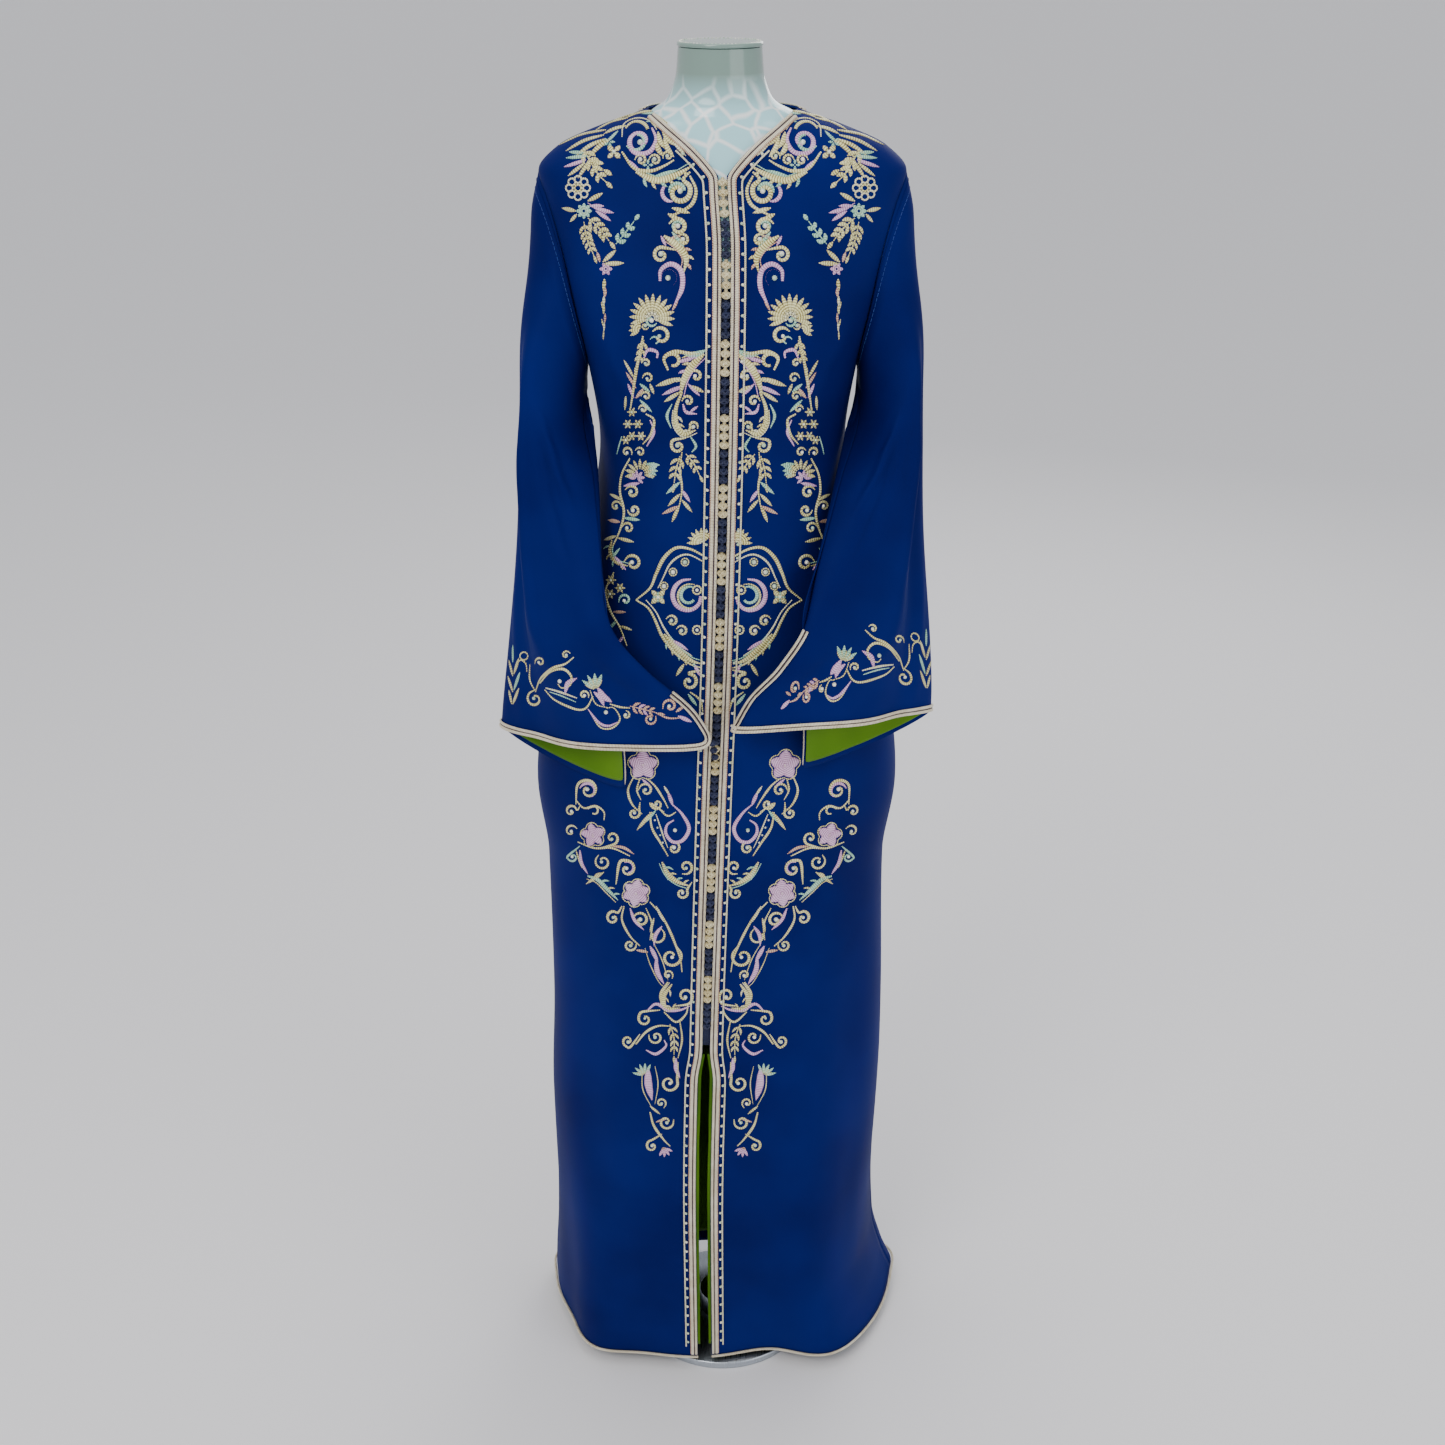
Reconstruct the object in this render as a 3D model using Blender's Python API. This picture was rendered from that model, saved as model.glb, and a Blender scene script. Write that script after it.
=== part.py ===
"""A long kaftan with wide sleeves, buttoned down the front with knotted buttons, on a limbless dress form.

Metres, +Z up, front of the garment towards -Y. The origin is on the floor, under the middle of the stand.
Left and right are the wearer's: the wearer's left is at +X.
"""

import math

import bmesh
import bpy
import numpy as np

# Driving sizes
HEM_Z = 0.020
ARMPIT_Z = 1.270
SHOULDER_TIP_Z = 1.462
NECK_FRONT_Z = 1.466
NECK_TOP_Z = 1.5205
SLIT_TOP_Z = 0.489

CLOTH = 0.0015
LINING = 0.0010
SEAM_GAP = 0.0004
LAYER_GAP = 0.0004
TRIM_GAP = 0.0008
FORM_GAP = 0.0023

BRAID_WIDTH = 0.0092
BRAID_HEIGHT = 0.0018
BRAID_GROOVE = 0.0006
BRAID_INSET = 0.0003
CUFF_BRAID_WIDTH = 0.0085
TAPE_UNDER = 0.0060
TAPE_SAG = 0.0008
TAPE_TOP_Z = 1.367
PICOT_RADIUS = 0.0013
PICOT_FROM_EDGE = 0.0142
HEM_CORD_RADIUS = 0.0016

KNOT_RADIUS = 0.0041
KNOT_PITCH = 0.0091
KNOTS_IN_GROUP = 4
KNOT_OUT = 0.0022
BUTTON_GROUPS = 26
CLOSURE_HALF_GAP = 0.0041
SLIT_HALF_GAP = 0.0088

ARMHOLE_FRONT = 0.058
ARMHOLE_BACK = 0.046
SLIT_STARTS_ALONG = 0.66

STAND_RADIUS = 0.108
STAND_Y = 0.006
STAND_THICKNESS = 0.010
COLLAR_RADIUS = 0.030
COLLAR_HEIGHT = 0.030
POLE_RADIUS = 0.0125
PART_GAP = 0.0003
CAP_THICKNESS = 0.0045
NECK_SHIFT = -0.0024

# The outer face of the cloth on the body. At each height: how far the middle is moved along X,
# the half width, the places of the front, of the widest line and of the back along Y, and how square it is.
BODY_COLUMNS = ("z", "shift", "half_width", "front", "side", "back", "square")
BODY_SECTIONS = (
    (0.020, 0.003, 0.224, -0.103, 0.070, 0.123, 3.0),
    (0.060, -0.004, 0.215, -0.104, 0.066, 0.122, 3.0),
    (0.120, -0.009, 0.206, -0.105, 0.060, 0.121, 2.9),
    (0.200, -0.010, 0.203, -0.106, 0.056, 0.119, 2.9),
    (0.350, -0.009, 0.204, -0.108, 0.050, 0.117, 2.8),
    (0.500, -0.006, 0.200, -0.110, 0.045, 0.115, 2.7),
    (0.690, -0.008, 0.197, -0.113, 0.040, 0.113, 2.6),
    (0.785, -0.007, 0.207, -0.115, 0.036, 0.112, 2.6),
    (0.900, -0.005, 0.192, -0.117, 0.030, 0.110, 2.5),
    (1.050, -0.002, 0.154, -0.119, 0.020, 0.104, 2.4),
    (1.190, 0.000, 0.130, -0.124, 0.014, 0.098, 2.3),
    (1.270, 0.000, 0.140, -0.128, 0.010, 0.098, 2.3),
    (1.340, 0.000, 0.160, -0.121, 0.006, 0.097, 2.3),
    (1.400, 0.000, 0.174, -0.102, 0.004, 0.094, 2.3),
    (1.440, 0.000, 0.181, -0.086, 0.003, 0.089, 2.3),
    (1.462, 0.000, 0.184, -0.077, 0.002, 0.085, 2.3),
    (1.485, 0.000, 0.164, -0.067, 0.002, 0.079, 2.2),
    (1.505, 0.000, 0.119, -0.057, 0.002, 0.071, 2.1),
    (1.5216, 0.000, 0.0725, -0.047, 0.002, 0.063, 2.0),
    (1.532, 0.000, 0.0600, -0.043, 0.002, 0.058, 2.0),
    (1.545, 0.000, 0.0530, -0.041, 0.002, 0.055, 2.0),
)

# Soft vertical folds of the skirt: arc from the front middle at the hem (to +X), how far the
# fold stands out at the hem, its half width, and the height where it has died away.
FOLD_COLUMNS = ("arc", "out", "half_width", "top_z")
SKIRT_FOLDS = (
    (0.060, -0.016, 0.055, 0.42),
    (0.128, 0.012, 0.045, 0.55),
    (0.235, -0.016, 0.075, 0.42),
    (-0.110, -0.004, 0.050, 0.30),
    (-0.165, 0.010, 0.040, 0.45),
    (-0.235, -0.012, 0.055, 0.50),
    (0.400, 0.014, 0.050, 0.95),
    (0.480, -0.014, 0.045, 0.95),
    (-0.400, 0.014, 0.050, 0.95),
    (-0.480, -0.014, 0.045, 0.95),
)

# The line of the closure: height and place along X. It leans to the wearer's right going down.
CLOSURE_COLUMNS = ("z", "x")
CLOSURE_LINE = (
    (0.020, -0.0225),
    (0.250, -0.0235),
    (0.489, -0.0190),
    (0.780, -0.0105),
    (1.020, -0.0025),
    (1.250, 0.0020),
    (1.400, 0.0035),
    (1.466, 0.0000),
    (1.540, 0.0000),
)

# The front neckline: height and distance of its edge from the closure line.
NECKLINE_COLUMNS = ("z", "out")
NECKLINE = (
    (1.466, 0.0041),
    (1.474, 0.0105),
    (1.483, 0.0190),
    (1.494, 0.0310),
    (1.505, 0.0455),
    (1.514, 0.0590),
    (1.5216, 0.0715),
)

# The dress form under the cloth, below the shoulders. Above, it follows the cloth from inside.
FORM_COLUMNS_NAMED = ("z", "half_width", "front", "back")
FORM_SECTIONS = (
    (0.780, 0.128, -0.062, 0.070),
    (0.800, 0.146, -0.078, 0.084),
    (0.860, 0.158, -0.088, 0.094),
    (0.920, 0.158, -0.088, 0.094),
    (1.000, 0.140, -0.084, 0.080),
    (1.080, 0.118, -0.084, 0.068),
    (1.150, 0.116, -0.097, 0.068),
    (1.220, 0.126, -0.114, 0.078),
    (1.270, 0.134, -0.119, 0.084),
    (1.320, 0.142, -0.116, 0.087),
    (1.366, 0.152, -0.107, 0.088),
)
FORM_COLUMNS = 20
NECK_SECTIONS = (
    (1.5235, 0.0605, -0.0440, 0.0540),
    (1.5285, 0.0535, -0.0410, 0.0500),
    (1.5370, 0.0485, -0.0395, 0.0475),
    (1.5560, 0.0432, -0.0380, 0.0460),
    (1.5780, 0.0415, -0.0370, 0.0450),
)

# The sleeve on the +X side. Along it: the outer fold, the front layer's inner edge and the back
# layer's inner edge, each as X, Y, Z, then how far the front and back layers swell from the fold plane.
SLEEVE_COLUMNS = ("along", "outer", "front_edge", "back_edge", "front_swell", "back_swell")
SLEEVE_SECTIONS = (
    (0.00, (0.184, 0.002, 1.462), (0.140, 0.010, 1.270), (0.140, 0.010, 1.270), 0.050, 0.046),
    (0.08, (0.193, 0.002, 1.420), (0.142, 0.006, 1.252), (0.142, 0.006, 1.252), 0.058, 0.050),
    (0.20, (0.196, 0.000, 1.350), (0.143, -0.025, 1.220), (0.143, -0.025, 1.220), 0.058, 0.042),
    (0.34, (0.199, -0.008, 1.250), (0.127, -0.075, 1.165), (0.127, -0.075, 1.165), 0.046, 0.026),
    (0.50, (0.208, -0.020, 1.130), (0.112, -0.114, 1.092), (0.112, -0.114, 1.092), 0.037, 0.014),
    (0.66, (0.2215, -0.032, 1.026), (0.100, -0.140, 1.032), (0.100, -0.140, 1.032), 0.030, 0.008),
    (0.80, (0.2315, -0.041, 0.964), (0.066, -0.149, 0.983), (0.104, -0.128, 0.960), 0.030, 0.008),
    (0.92, (0.239, -0.047, 0.914), (0.028, -0.149, 0.943), (0.097, -0.122, 0.892), 0.031, 0.006),
    (1.00, (0.2425, -0.050, 0.886), (0.0072, -0.145, 0.903), (0.0966, -0.120, 0.850), 0.031, 0.006),
)
# The two sleeves don't hang quite alike. This moves each one's cuff, growing from nothing at the
# shoulder, then the inner edges halfway down, and then how far each layer's lower edge bows up.
CUFF_MOVES = {
    "left": {"outer": (-0.0155, -0.012, 0.012), "front_edge": (0, 0, 0.006), "back_edge": (-0.0105, -0.010, 0.013)},
    "right": {"outer": (0.001, 0, -0.010), "front_edge": (0, 0, -0.008), "back_edge": (0.009, 0, -0.014)},
}
HALFWAY_MOVES = {"left": (-0.0155, -0.009, 0), "right": (0.0155, 0, 0)}
HALFWAY_POWER = 1.5
CUFF_BOWS = {"left": {"front": 0.009, "back": -0.012}, "right": {"front": -0.002, "back": -0.016}}
# The front layer's corner is cut round at the cuff.
CORNER_RADIUS = {"left": 0.006, "right": 0.018}
SLEEVE_STEPS = (0.0, 0.035, 0.08, 0.15, 0.23, 0.32, 0.41, 0.50, 0.58, 0.66, 0.73, 0.80, 0.87, 0.94, 1.0)
# Places across each layer, from the outer fold at 0 to the inner edge at 1, as shares of a half turn.
HALF_TURNS = (0.0, 0.1, 0.2, 0.3, 0.4, 0.5, 0.6, 0.7, 0.8, 1.0)
# Long soft folds of the front layer, from the shoulder to the cuff: place across from the outer fold.
SLEEVE_FOLDS = (
    {"at": 0.42, "half_width": 0.20, "out": 0.007},
    {"at": 0.20, "half_width": 0.13, "out": -0.006},
)
# The short string of knots that hangs from the corner of the right cuff: how far down, how far
# inwards, and its thickness there.
CUFF_KNOT_SEAT = 0.0034
CUFF_KNOT_COLUMNS = ("down", "inwards", "size")
CUFF_KNOT = (
    (-0.0038, 0.0, 0.45),
    (0.0, 0.0, 1.0),
    (0.0039, 0.0008, 0.45),
    (0.0080, 0.0016, 1.0),
    (0.0120, 0.0022, 0.45),
    (0.0160, 0.0026, 1.0),
    (0.0198, 0.0028, 0.45),
)
LINING_STEPS = (0.73, 0.80, 0.87, 0.94, 0.992)

SKIRT_HEIGHTS = (HEM_Z, 0.036, 0.090, 0.160, 0.250, 0.360, SLIT_TOP_Z, 0.600, 0.690, 0.785, 0.870, 0.960, 1.050, 1.130, 1.200)
SHOULDER_HEIGHTS = (1.474, 1.486, 1.498, 1.506, 1.5125, 1.517, NECK_TOP_Z)
FRONT_COLUMNS = 8
BACK_COLUMNS = 14
LINING_BOTTOM_Z = 0.036
LINING_TOP_Z = 0.600
LINING_SHOWS_BY = 0.0035
LINING_STRIP = 0.022

COLOURS = {
    "royal_crepe": ((0.006, 0.022, 0.165, 1.0), 0.55, 0.0),
    "green_lining": ((0.075, 0.160, 0.012, 1.0), 0.45, 0.0),
    "gold_braid": ((0.700, 0.510, 0.270, 1.0), 0.42, 0.35),
    "cream_cord": ((0.780, 0.690, 0.450, 1.0), 0.45, 0.20),
    "gold_knot": ((0.620, 0.480, 0.220, 1.0), 0.45, 0.30),
    "navy_knot": ((0.008, 0.012, 0.060, 1.0), 0.60, 0.0),
    "pale_form": ((0.480, 0.630, 0.580, 1.0), 0.22, 0.0),
    "steel": ((0.560, 0.570, 0.580, 1.0), 0.28, 1.0),
}


def smooth_between(places, values, at):
    """Values between the rows of a table, on a smooth curve that doesn't overshoot."""
    places = np.asarray(places, float)
    values = np.asarray(values, float)
    step = np.diff(places)
    slope = (np.diff(values, axis=0).T / step).T
    inner = np.zeros_like(values)
    same_way = slope[:-1] * slope[1:] > 0
    both = np.where(same_way, 2 * slope[:-1] * slope[1:] / np.where(same_way, slope[:-1] + slope[1:], 1), 0)
    inner[1:-1] = both
    inner[0] = slope[0]
    inner[-1] = slope[-1]
    at = float(np.clip(at, places[0], places[-1]))
    k = int(np.clip(np.searchsorted(places, at) - 1, 0, len(step) - 1))
    t = (at - places[k]) / step[k]
    rise = values[k] * (2 * t**3 - 3 * t**2 + 1) + values[k + 1] * (3 * t**2 - 2 * t**3)
    return rise + step[k] * (inner[k] * (t**3 - 2 * t**2 + t) + inner[k + 1] * (t**3 - t**2))


def section_at(z):
    table = np.array(BODY_SECTIONS)
    found = smooth_between(table[:, 0], table[:, 1:], z)
    return dict(zip(BODY_COLUMNS[1:], found))


def closure_x(z):
    table = np.array(CLOSURE_LINE)
    return float(smooth_between(table[:, 0], table[:, 1], z))


def neckline_out(z):
    table = np.array(NECKLINE)
    return float(smooth_between(table[:, 0], table[:, 1], z))


OUTLINE_STEPS = 90
outline_cache = {}


def half_outline(z):
    """One half of the section at z, from the front middle round to the back middle, as X from the middle, Y and arc."""
    key = round(z, 6)
    if key not in outline_cache:
        row = section_at(z)
        turn = np.linspace(0, math.pi, OUTLINE_STEPS + 1)
        # The power spreads the points evenly where a squarish section turns quickly.
        across = np.sin(turn) ** (2 / row["square"])
        ahead = np.abs(np.cos(turn)) ** (2 / row["square"])
        x = row["half_width"] * across
        y = np.where(
            turn < math.pi / 2,
            row["side"] - (row["side"] - row["front"]) * ahead,
            row["side"] + (row["back"] - row["side"]) * ahead,
        )
        arc = np.concatenate([[0], np.cumsum(np.hypot(np.diff(x), np.diff(y)))])
        side_arc = arc[OUTLINE_STEPS // 2]
        outline_cache[key] = (x, y, arc, side_arc, row["shift"])
    return outline_cache[key]


def side_arc(z):
    return half_outline(z)[3]


def back_arc(z):
    return half_outline(z)[2][-1]


def arc_of_x(x, z):
    """Arc from the front middle to the point of the front at this x."""
    xs, _, arc, _, shift = half_outline(z)
    count = OUTLINE_STEPS // 2 + 1
    return math.copysign(float(np.interp(abs(x - shift), xs[:count], arc[:count])), x - shift)


def fold_out(arc, z):
    """How far the skirt's folds stand out from the plain section."""
    share = arc / back_arc(z) * back_arc(HEM_Z)
    total = 0.0
    for row in SKIRT_FOLDS:
        fold = dict(zip(FOLD_COLUMNS, row))
        height = max(0.0, 1 - (z - HEM_Z) / (fold["top_z"] - HEM_Z))
        near = (share - fold["arc"]) / fold["half_width"]
        total += fold["out"] * height**1.3 * math.exp(-near * near)
    return total


def plain_point(arc, z):
    xs, ys, arcs, _, shift = half_outline(z)
    side = math.copysign(1, arc)
    x = shift + side * float(np.interp(abs(arc), arcs, xs))
    y = float(np.interp(abs(arc), arcs, ys))
    return np.array([x, y, z])


PROBE = 0.0015


def slopes(point_at, a, b):
    """The two directions along a surface at a, b, for small steps of each."""
    da = (point_at(a + PROBE, b) - point_at(a - PROBE, b)) / (2 * PROBE)
    db = (point_at(a, b + PROBE) - point_at(a, b - PROBE)) / (2 * PROBE)
    return da, db


def unit(vector):
    return vector / max(np.linalg.norm(vector), 1e-12)


def folded_point(arc, z):
    along, up = slopes(plain_point, arc, z)
    return plain_point(arc, z) + unit(np.cross(along, up)) * fold_out(arc, z)


def cloth_normal(arc, z):
    along, up = slopes(folded_point, arc, z)
    return unit(np.cross(along, up))


def cloth_point(arc, z, out=0.0):
    """A point of the cloth's outer face, moved out along its normal."""
    return folded_point(arc, z) + cloth_normal(arc, z) * out if out else folded_point(arc, z)


def armhole_half_width(z, widest):
    """Half the width of the armhole along the cloth at this height, fuller near the armpit."""
    share = (z - ARMPIT_Z) / (SHOULDER_TIP_Z - ARMPIT_Z)
    return widest * math.sqrt(math.sin(math.pi * share**0.75)) if 0 < share < 1 else 0.0


def armhole_heights():
    middle, reach = (ARMPIT_Z + SHOULDER_TIP_Z) / 2, (SHOULDER_TIP_Z - ARMPIT_Z) / 2
    return [middle + reach * math.cos(math.pi * turn) for turn in reversed(HALF_TURNS)]


def body_heights():
    return list(SKIRT_HEIGHTS) + armhole_heights() + list(SHOULDER_HEIGHTS)


def closure_edge(z, side):
    """X of a front's edge at the closure, the slit or the neckline. side is +1 on the wearer's left."""
    if z > NECK_FRONT_Z:
        return closure_x(z) + side * neckline_out(z)
    open_share = min(max((SLIT_TOP_Z - z) / 0.045, 0), 1)
    open_share = open_share * open_share * (3 - 2 * open_share)
    return closure_x(z) + side * (CLOSURE_HALF_GAP + (SLIT_HALF_GAP - CLOSURE_HALF_GAP) * open_share)


def material(name):
    colour, roughness, metallic = COLOURS[name]
    made = bpy.data.materials.get(name) or bpy.data.materials.new(name)
    made.use_nodes = True
    shader = made.node_tree.nodes["Principled BSDF"]
    shader.inputs["Base Color"].default_value = colour
    shader.inputs["Roughness"].default_value = roughness
    shader.inputs["Metallic"].default_value = metallic
    made.diffuse_color = colour
    return made


def place(name, mesh, material_name, collection):
    mesh.materials.append(material(material_name))
    mesh.shade_smooth()
    mesh.set_sharp_from_angle(angle=math.radians(50))
    made = bpy.data.objects.new(name, mesh)
    collection.objects.link(made)
    return made


def mesh_of(name, points, faces):
    mesh = bpy.data.meshes.new(name)
    mesh.from_pydata([tuple(map(float, p)) for p in points], [], faces)
    mesh.update()
    return mesh


def wall(name, outer, inner, material_name, collection, sewn_rows=0):
    """A closed thin wall between two grids of points. In the first sewn_rows rows its two long edges are one seam."""
    rows, columns = len(outer), len(outer[0])
    count = rows * columns
    points = [p for row in outer for p in row] + [p for row in inner for p in row]
    faces = []
    for i in range(rows - 1):
        for j in range(columns - 1):
            a = i * columns + j
            b = a + columns + 1
            # Both layers are split along the same diagonal, which keeps them parallel.
            for half in ((a, a + 1, b), (a, b, b - 1)):
                faces.append(half)
                faces.append(tuple(count + k for k in reversed(half)))
    rim = [(j, j + 1) for j in range(columns - 1)]
    rim += [((rows - 1) * columns + j + 1, (rows - 1) * columns + j) for j in range(columns - 1)]
    for i in range(max(sewn_rows - 1, 0), rows - 1):
        rim.append(((i + 1) * columns, i * columns))
        rim.append(((i + 1) * columns - 1, (i + 2) * columns - 1))
    faces += [(b, a, count + a, count + b) for a, b in rim]
    mesh = mesh_of(name, points, faces)
    tidy = bmesh.new()
    tidy.from_mesh(mesh)
    tidy.verts.ensure_lookup_table()
    sewn = {}
    for i in range(sewn_rows):
        for start in (i * columns, count + i * columns):
            sewn[tidy.verts[start + columns - 1]] = tidy.verts[start]
    bmesh.ops.weld_verts(tidy, targetmap=sewn)
    bmesh.ops.recalc_face_normals(tidy, faces=tidy.faces)
    tidy.to_mesh(mesh)
    tidy.free()
    return place(name, mesh, material_name, collection)


def loft(name, rings, material_name, collection):
    """A closed solid through rings with the same number of points, capped at both ends."""
    count = len(rings[0])
    points = [p for ring in rings for p in ring]
    faces = []
    for i in range(len(rings) - 1):
        for j in range(count):
            k = (j + 1) % count
            faces.append((i * count + j, i * count + k, (i + 1) * count + k, (i + 1) * count + j))
    for ring, turned in ((0, True), (len(rings) - 1, False)):
        centre = len(points)
        points.append(np.mean(rings[ring], axis=0))
        for j in range(count):
            a, b = ring * count + j, ring * count + (j + 1) % count
            faces.append((centre, b, a) if turned else (centre, a, b))
    mesh = mesh_of(name, points, faces)
    tidy = bmesh.new()
    tidy.from_mesh(mesh)
    bmesh.ops.recalc_face_normals(tidy, faces=tidy.faces)
    tidy.to_mesh(mesh)
    tidy.free()
    return place(name, mesh, material_name, collection)


def tube(name, points, radius, material_name, collection, sizes=None, sides=6):
    """A cord through points, as a curve with a round bevel. sizes scale its radius at each point."""
    curve = bpy.data.curves.new(name, "CURVE")
    curve.dimensions = "3D"
    curve.bevel_depth = radius
    curve.bevel_resolution = (sides - 4) // 2
    curve.use_fill_caps = True
    line = curve.splines.new("POLY")
    line.points.add(len(points) - 1)
    for k, place_at in enumerate(points):
        line.points[k].co = (*map(float, place_at), 1.0)
        line.points[k].radius = sizes[k] if sizes else 1.0
    curve.materials.append(material(material_name))
    made = bpy.data.objects.new(name, curve)
    collection.objects.link(made)
    return made


def disc(name, radius, bottom, height, centre, material_name, collection, sides):
    mesh = bpy.data.meshes.new(name)
    shape = bmesh.new()
    bmesh.ops.create_cone(shape, cap_ends=True, segments=sides, radius1=radius, radius2=radius, depth=height)
    shape.to_mesh(mesh)
    shape.free()
    made = place(name, mesh, material_name, collection)
    made.location = (centre[0], centre[1], bottom + height / 2)
    return made


def front_edge_arc(z, side):
    return arc_of_x(closure_edge(z, side), z)


def spread(first, last, steps):
    return [first + (last - first) * k / steps for k in range(steps + 1)]


def body_panel(rows_of_places):
    """A panel of the body as a grid of points on its outer face, with the way out at each."""
    return {
        "points": [[cloth_point(arc, z) for arc, z in row] for row in rows_of_places],
        "ways": [[cloth_normal(arc, z) for arc, z in row] for row in rows_of_places],
    }


def on_panel(panel, row, column, out=0.0):
    """A point on a panel's faces between its rows and columns, moved out from it."""
    i = min(int(row), len(panel["points"]) - 2)
    j = min(max(int(column), 0), len(panel["points"][0]) - 2)
    up, over = row - i, column - j
    found = []
    for field in ("points", "ways"):
        near, far = panel[field][i], panel[field][i + 1]
        if over >= up:
            found.append(near[j] + (near[j + 1] - near[j]) * over + (far[j + 1] - near[j + 1]) * up)
        else:
            found.append(near[j] + (far[j] - near[j]) * up + (far[j + 1] - far[j]) * over)
    return found[0] + found[1] * out


def column_at(panel, row, distance, from_last=False):
    """The column that lies this far along a row from its first point, or from its last."""
    steps = range(len(panel["points"][0]))
    steps = list(reversed(steps)) if from_last else list(steps)
    left = distance
    for a, b in zip(steps, steps[1:]):
        length = np.linalg.norm(on_panel(panel, row, a) - on_panel(panel, row, b))
        if left <= length:
            return a + (b - a) * left / length
        left -= length
    return float(steps[-1])


def row_at(panel, column, distance):
    """The row that lies this far along a column from its last row."""
    left = distance
    for row in range(len(panel["points"]) - 1, 0, -1):
        length = np.linalg.norm(on_panel(panel, row, column) - on_panel(panel, row - 1, column))
        if left <= length:
            return row - left / length
        left -= length
    return 0.0


def row_of_height(z):
    return float(np.interp(z, body_heights(), range(len(body_heights()))))


def panel_wall(name, panel, rows, columns, outer_out, inner_out, material_name, collection, sewn_rows=0, flip=1):
    """A wall over these rows and columns of a panel. columns is a list, or a function of the row."""
    turn = np.array([flip, 1.0, 1.0])
    layers = []
    for out in (outer_out, inner_out):
        layer = []
        for row in rows:
            places = columns(row) if callable(columns) else columns
            layer.append([on_panel(panel, row, column, out) * turn for column in places])
        layers.append(layer)
    return wall(name, *layers, material_name, collection, sewn_rows)


def all_of(grid):
    return [float(k) for k in range(len(grid))]


def make_front(side):
    rows = []
    for z in body_heights():
        outer = side * (side_arc(z) - armhole_half_width(z, ARMHOLE_FRONT) - SEAM_GAP / 2)
        rows.append([(arc, z) for arc in spread(front_edge_arc(z, side), outer, FRONT_COLUMNS)])
    return body_panel(rows)


def make_back():
    """The back runs from the wearer's left side line round to the right one."""
    rows = []
    for z in body_heights():
        reach = back_arc(z) - side_arc(z) - armhole_half_width(z, ARMHOLE_BACK) - SEAM_GAP / 2
        across = spread(reach, -reach, BACK_COLUMNS)
        rows.append([(math.copysign(back_arc(z) - abs(place_at), place_at), z) for place_at in across])
    return body_panel(rows)


def build_body(panels, collection):
    for name, panel in panels.items():
        rows, columns = all_of(panel["points"]), all_of(panel["points"][0])
        panel_wall(name, panel, rows, columns, 0.0, -CLOTH, "royal_crepe", collection)


def build_skirt_linings(panels, collection):
    outside = -(CLOTH + LAYER_GAP)
    heights = [z for z in SKIRT_HEIGHTS if LINING_BOTTOM_Z <= z <= LINING_TOP_Z]
    rows = [row_of_height(z) for z in heights]
    columns = [float(k) for k in range(1, BACK_COLUMNS)]
    args = (outside, outside - LINING, "green_lining", collection)
    panel_wall("skirt_lining_back", panels["back"], rows, columns, *args)
    rows = [row_of_height(z) for z in heights if z < SLIT_TOP_Z] + [row_of_height(SLIT_TOP_Z - 0.004)]
    for name in ("left", "right"):
        panel = panels[f"front_{name}"]

        def strip(row, panel=panel):
            last = column_at(panel, row, LINING_STRIP)
            first = -LINING_SHOWS_BY / LINING_STRIP * last
            return (first, 0.0, last)

        panel_wall(f"skirt_lining_{name}", panel, rows, strip, *args)


def braid_section(width):
    """The braid's section: two rounded cords with a groove between them, as across and out."""
    low, high = TRIM_GAP, TRIM_GAP + BRAID_HEIGHT
    start, end = BRAID_INSET, BRAID_INSET + width
    middle = (start + end) / 2
    return ((start, low), (end, low), (end - 0.0006, high), (middle, high - BRAID_GROOVE), (start + 0.0006, high))


def beside_edge(panel, row, across):
    """The row and column of the point that lies this far in from a front's middle edge, square to the edge."""
    last_row, last_column = len(panel["points"]) - 1, len(panel["points"][0]) - 1
    edge = on_panel(panel, row, 0)
    along = on_panel(panel, min(row + 0.3, last_row), 0) - on_panel(panel, max(row - 0.3, 0), 0)
    inwards = unit(np.cross(on_panel(panel, row, 0, 1.0) - edge, along))
    inwards = inwards if inwards @ (on_panel(panel, row, 0.5) - edge) > 0 else -inwards
    found = np.array([row, column_at(panel, row, across)])
    step = 0.02
    for _ in range(8):
        here = on_panel(panel, *found)
        moves = []
        for k in (0, 1):
            near, far = found.copy(), found.copy()
            near[k], far[k] = near[k] - step, far[k] + step
            moves.append((on_panel(panel, *far) - on_panel(panel, *near)) / (2 * step))
        change = np.linalg.lstsq(np.array(moves).T, edge + inwards * across - here, rcond=None)[0]
        found = np.clip(found + change, (0.01, 0), (last_row - 0.01, last_column))
    return found


def is_long(row):
    heights = body_heights()
    return row % 1 == 0 and heights[int(row) + 1] - heights[int(row)] > 0.06


def build_sfifa(panels, collection):
    section = braid_section(BRAID_WIDTH)
    last = len(body_heights()) - 1
    rows = [row_of_height(HEM_Z + 0.006)] + [float(k) for k in range(1, last - 2)]
    rows = sorted(rows + [row + 0.5 for row in rows if is_long(row)]) + [last - 2, last - 1, last - 0.05]
    for name in ("left", "right"):
        panel = panels[f"front_{name}"]
        rings = [[on_panel(panel, *beside_edge(panel, row, across), out) for across, out in section] for row in rows]
        loft(f"sfifa_{name}", rings, "gold_braid", collection)
    panel = panels["back"]
    columns = [0.12] + [float(k) for k in range(1, BACK_COLUMNS)] + [BACK_COLUMNS - 0.12]
    rings = [[on_panel(panel, row_at(panel, column, across), column, out) for across, out in section] for column in columns]
    loft("sfifa_neck_back", rings, "gold_braid", collection)


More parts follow.
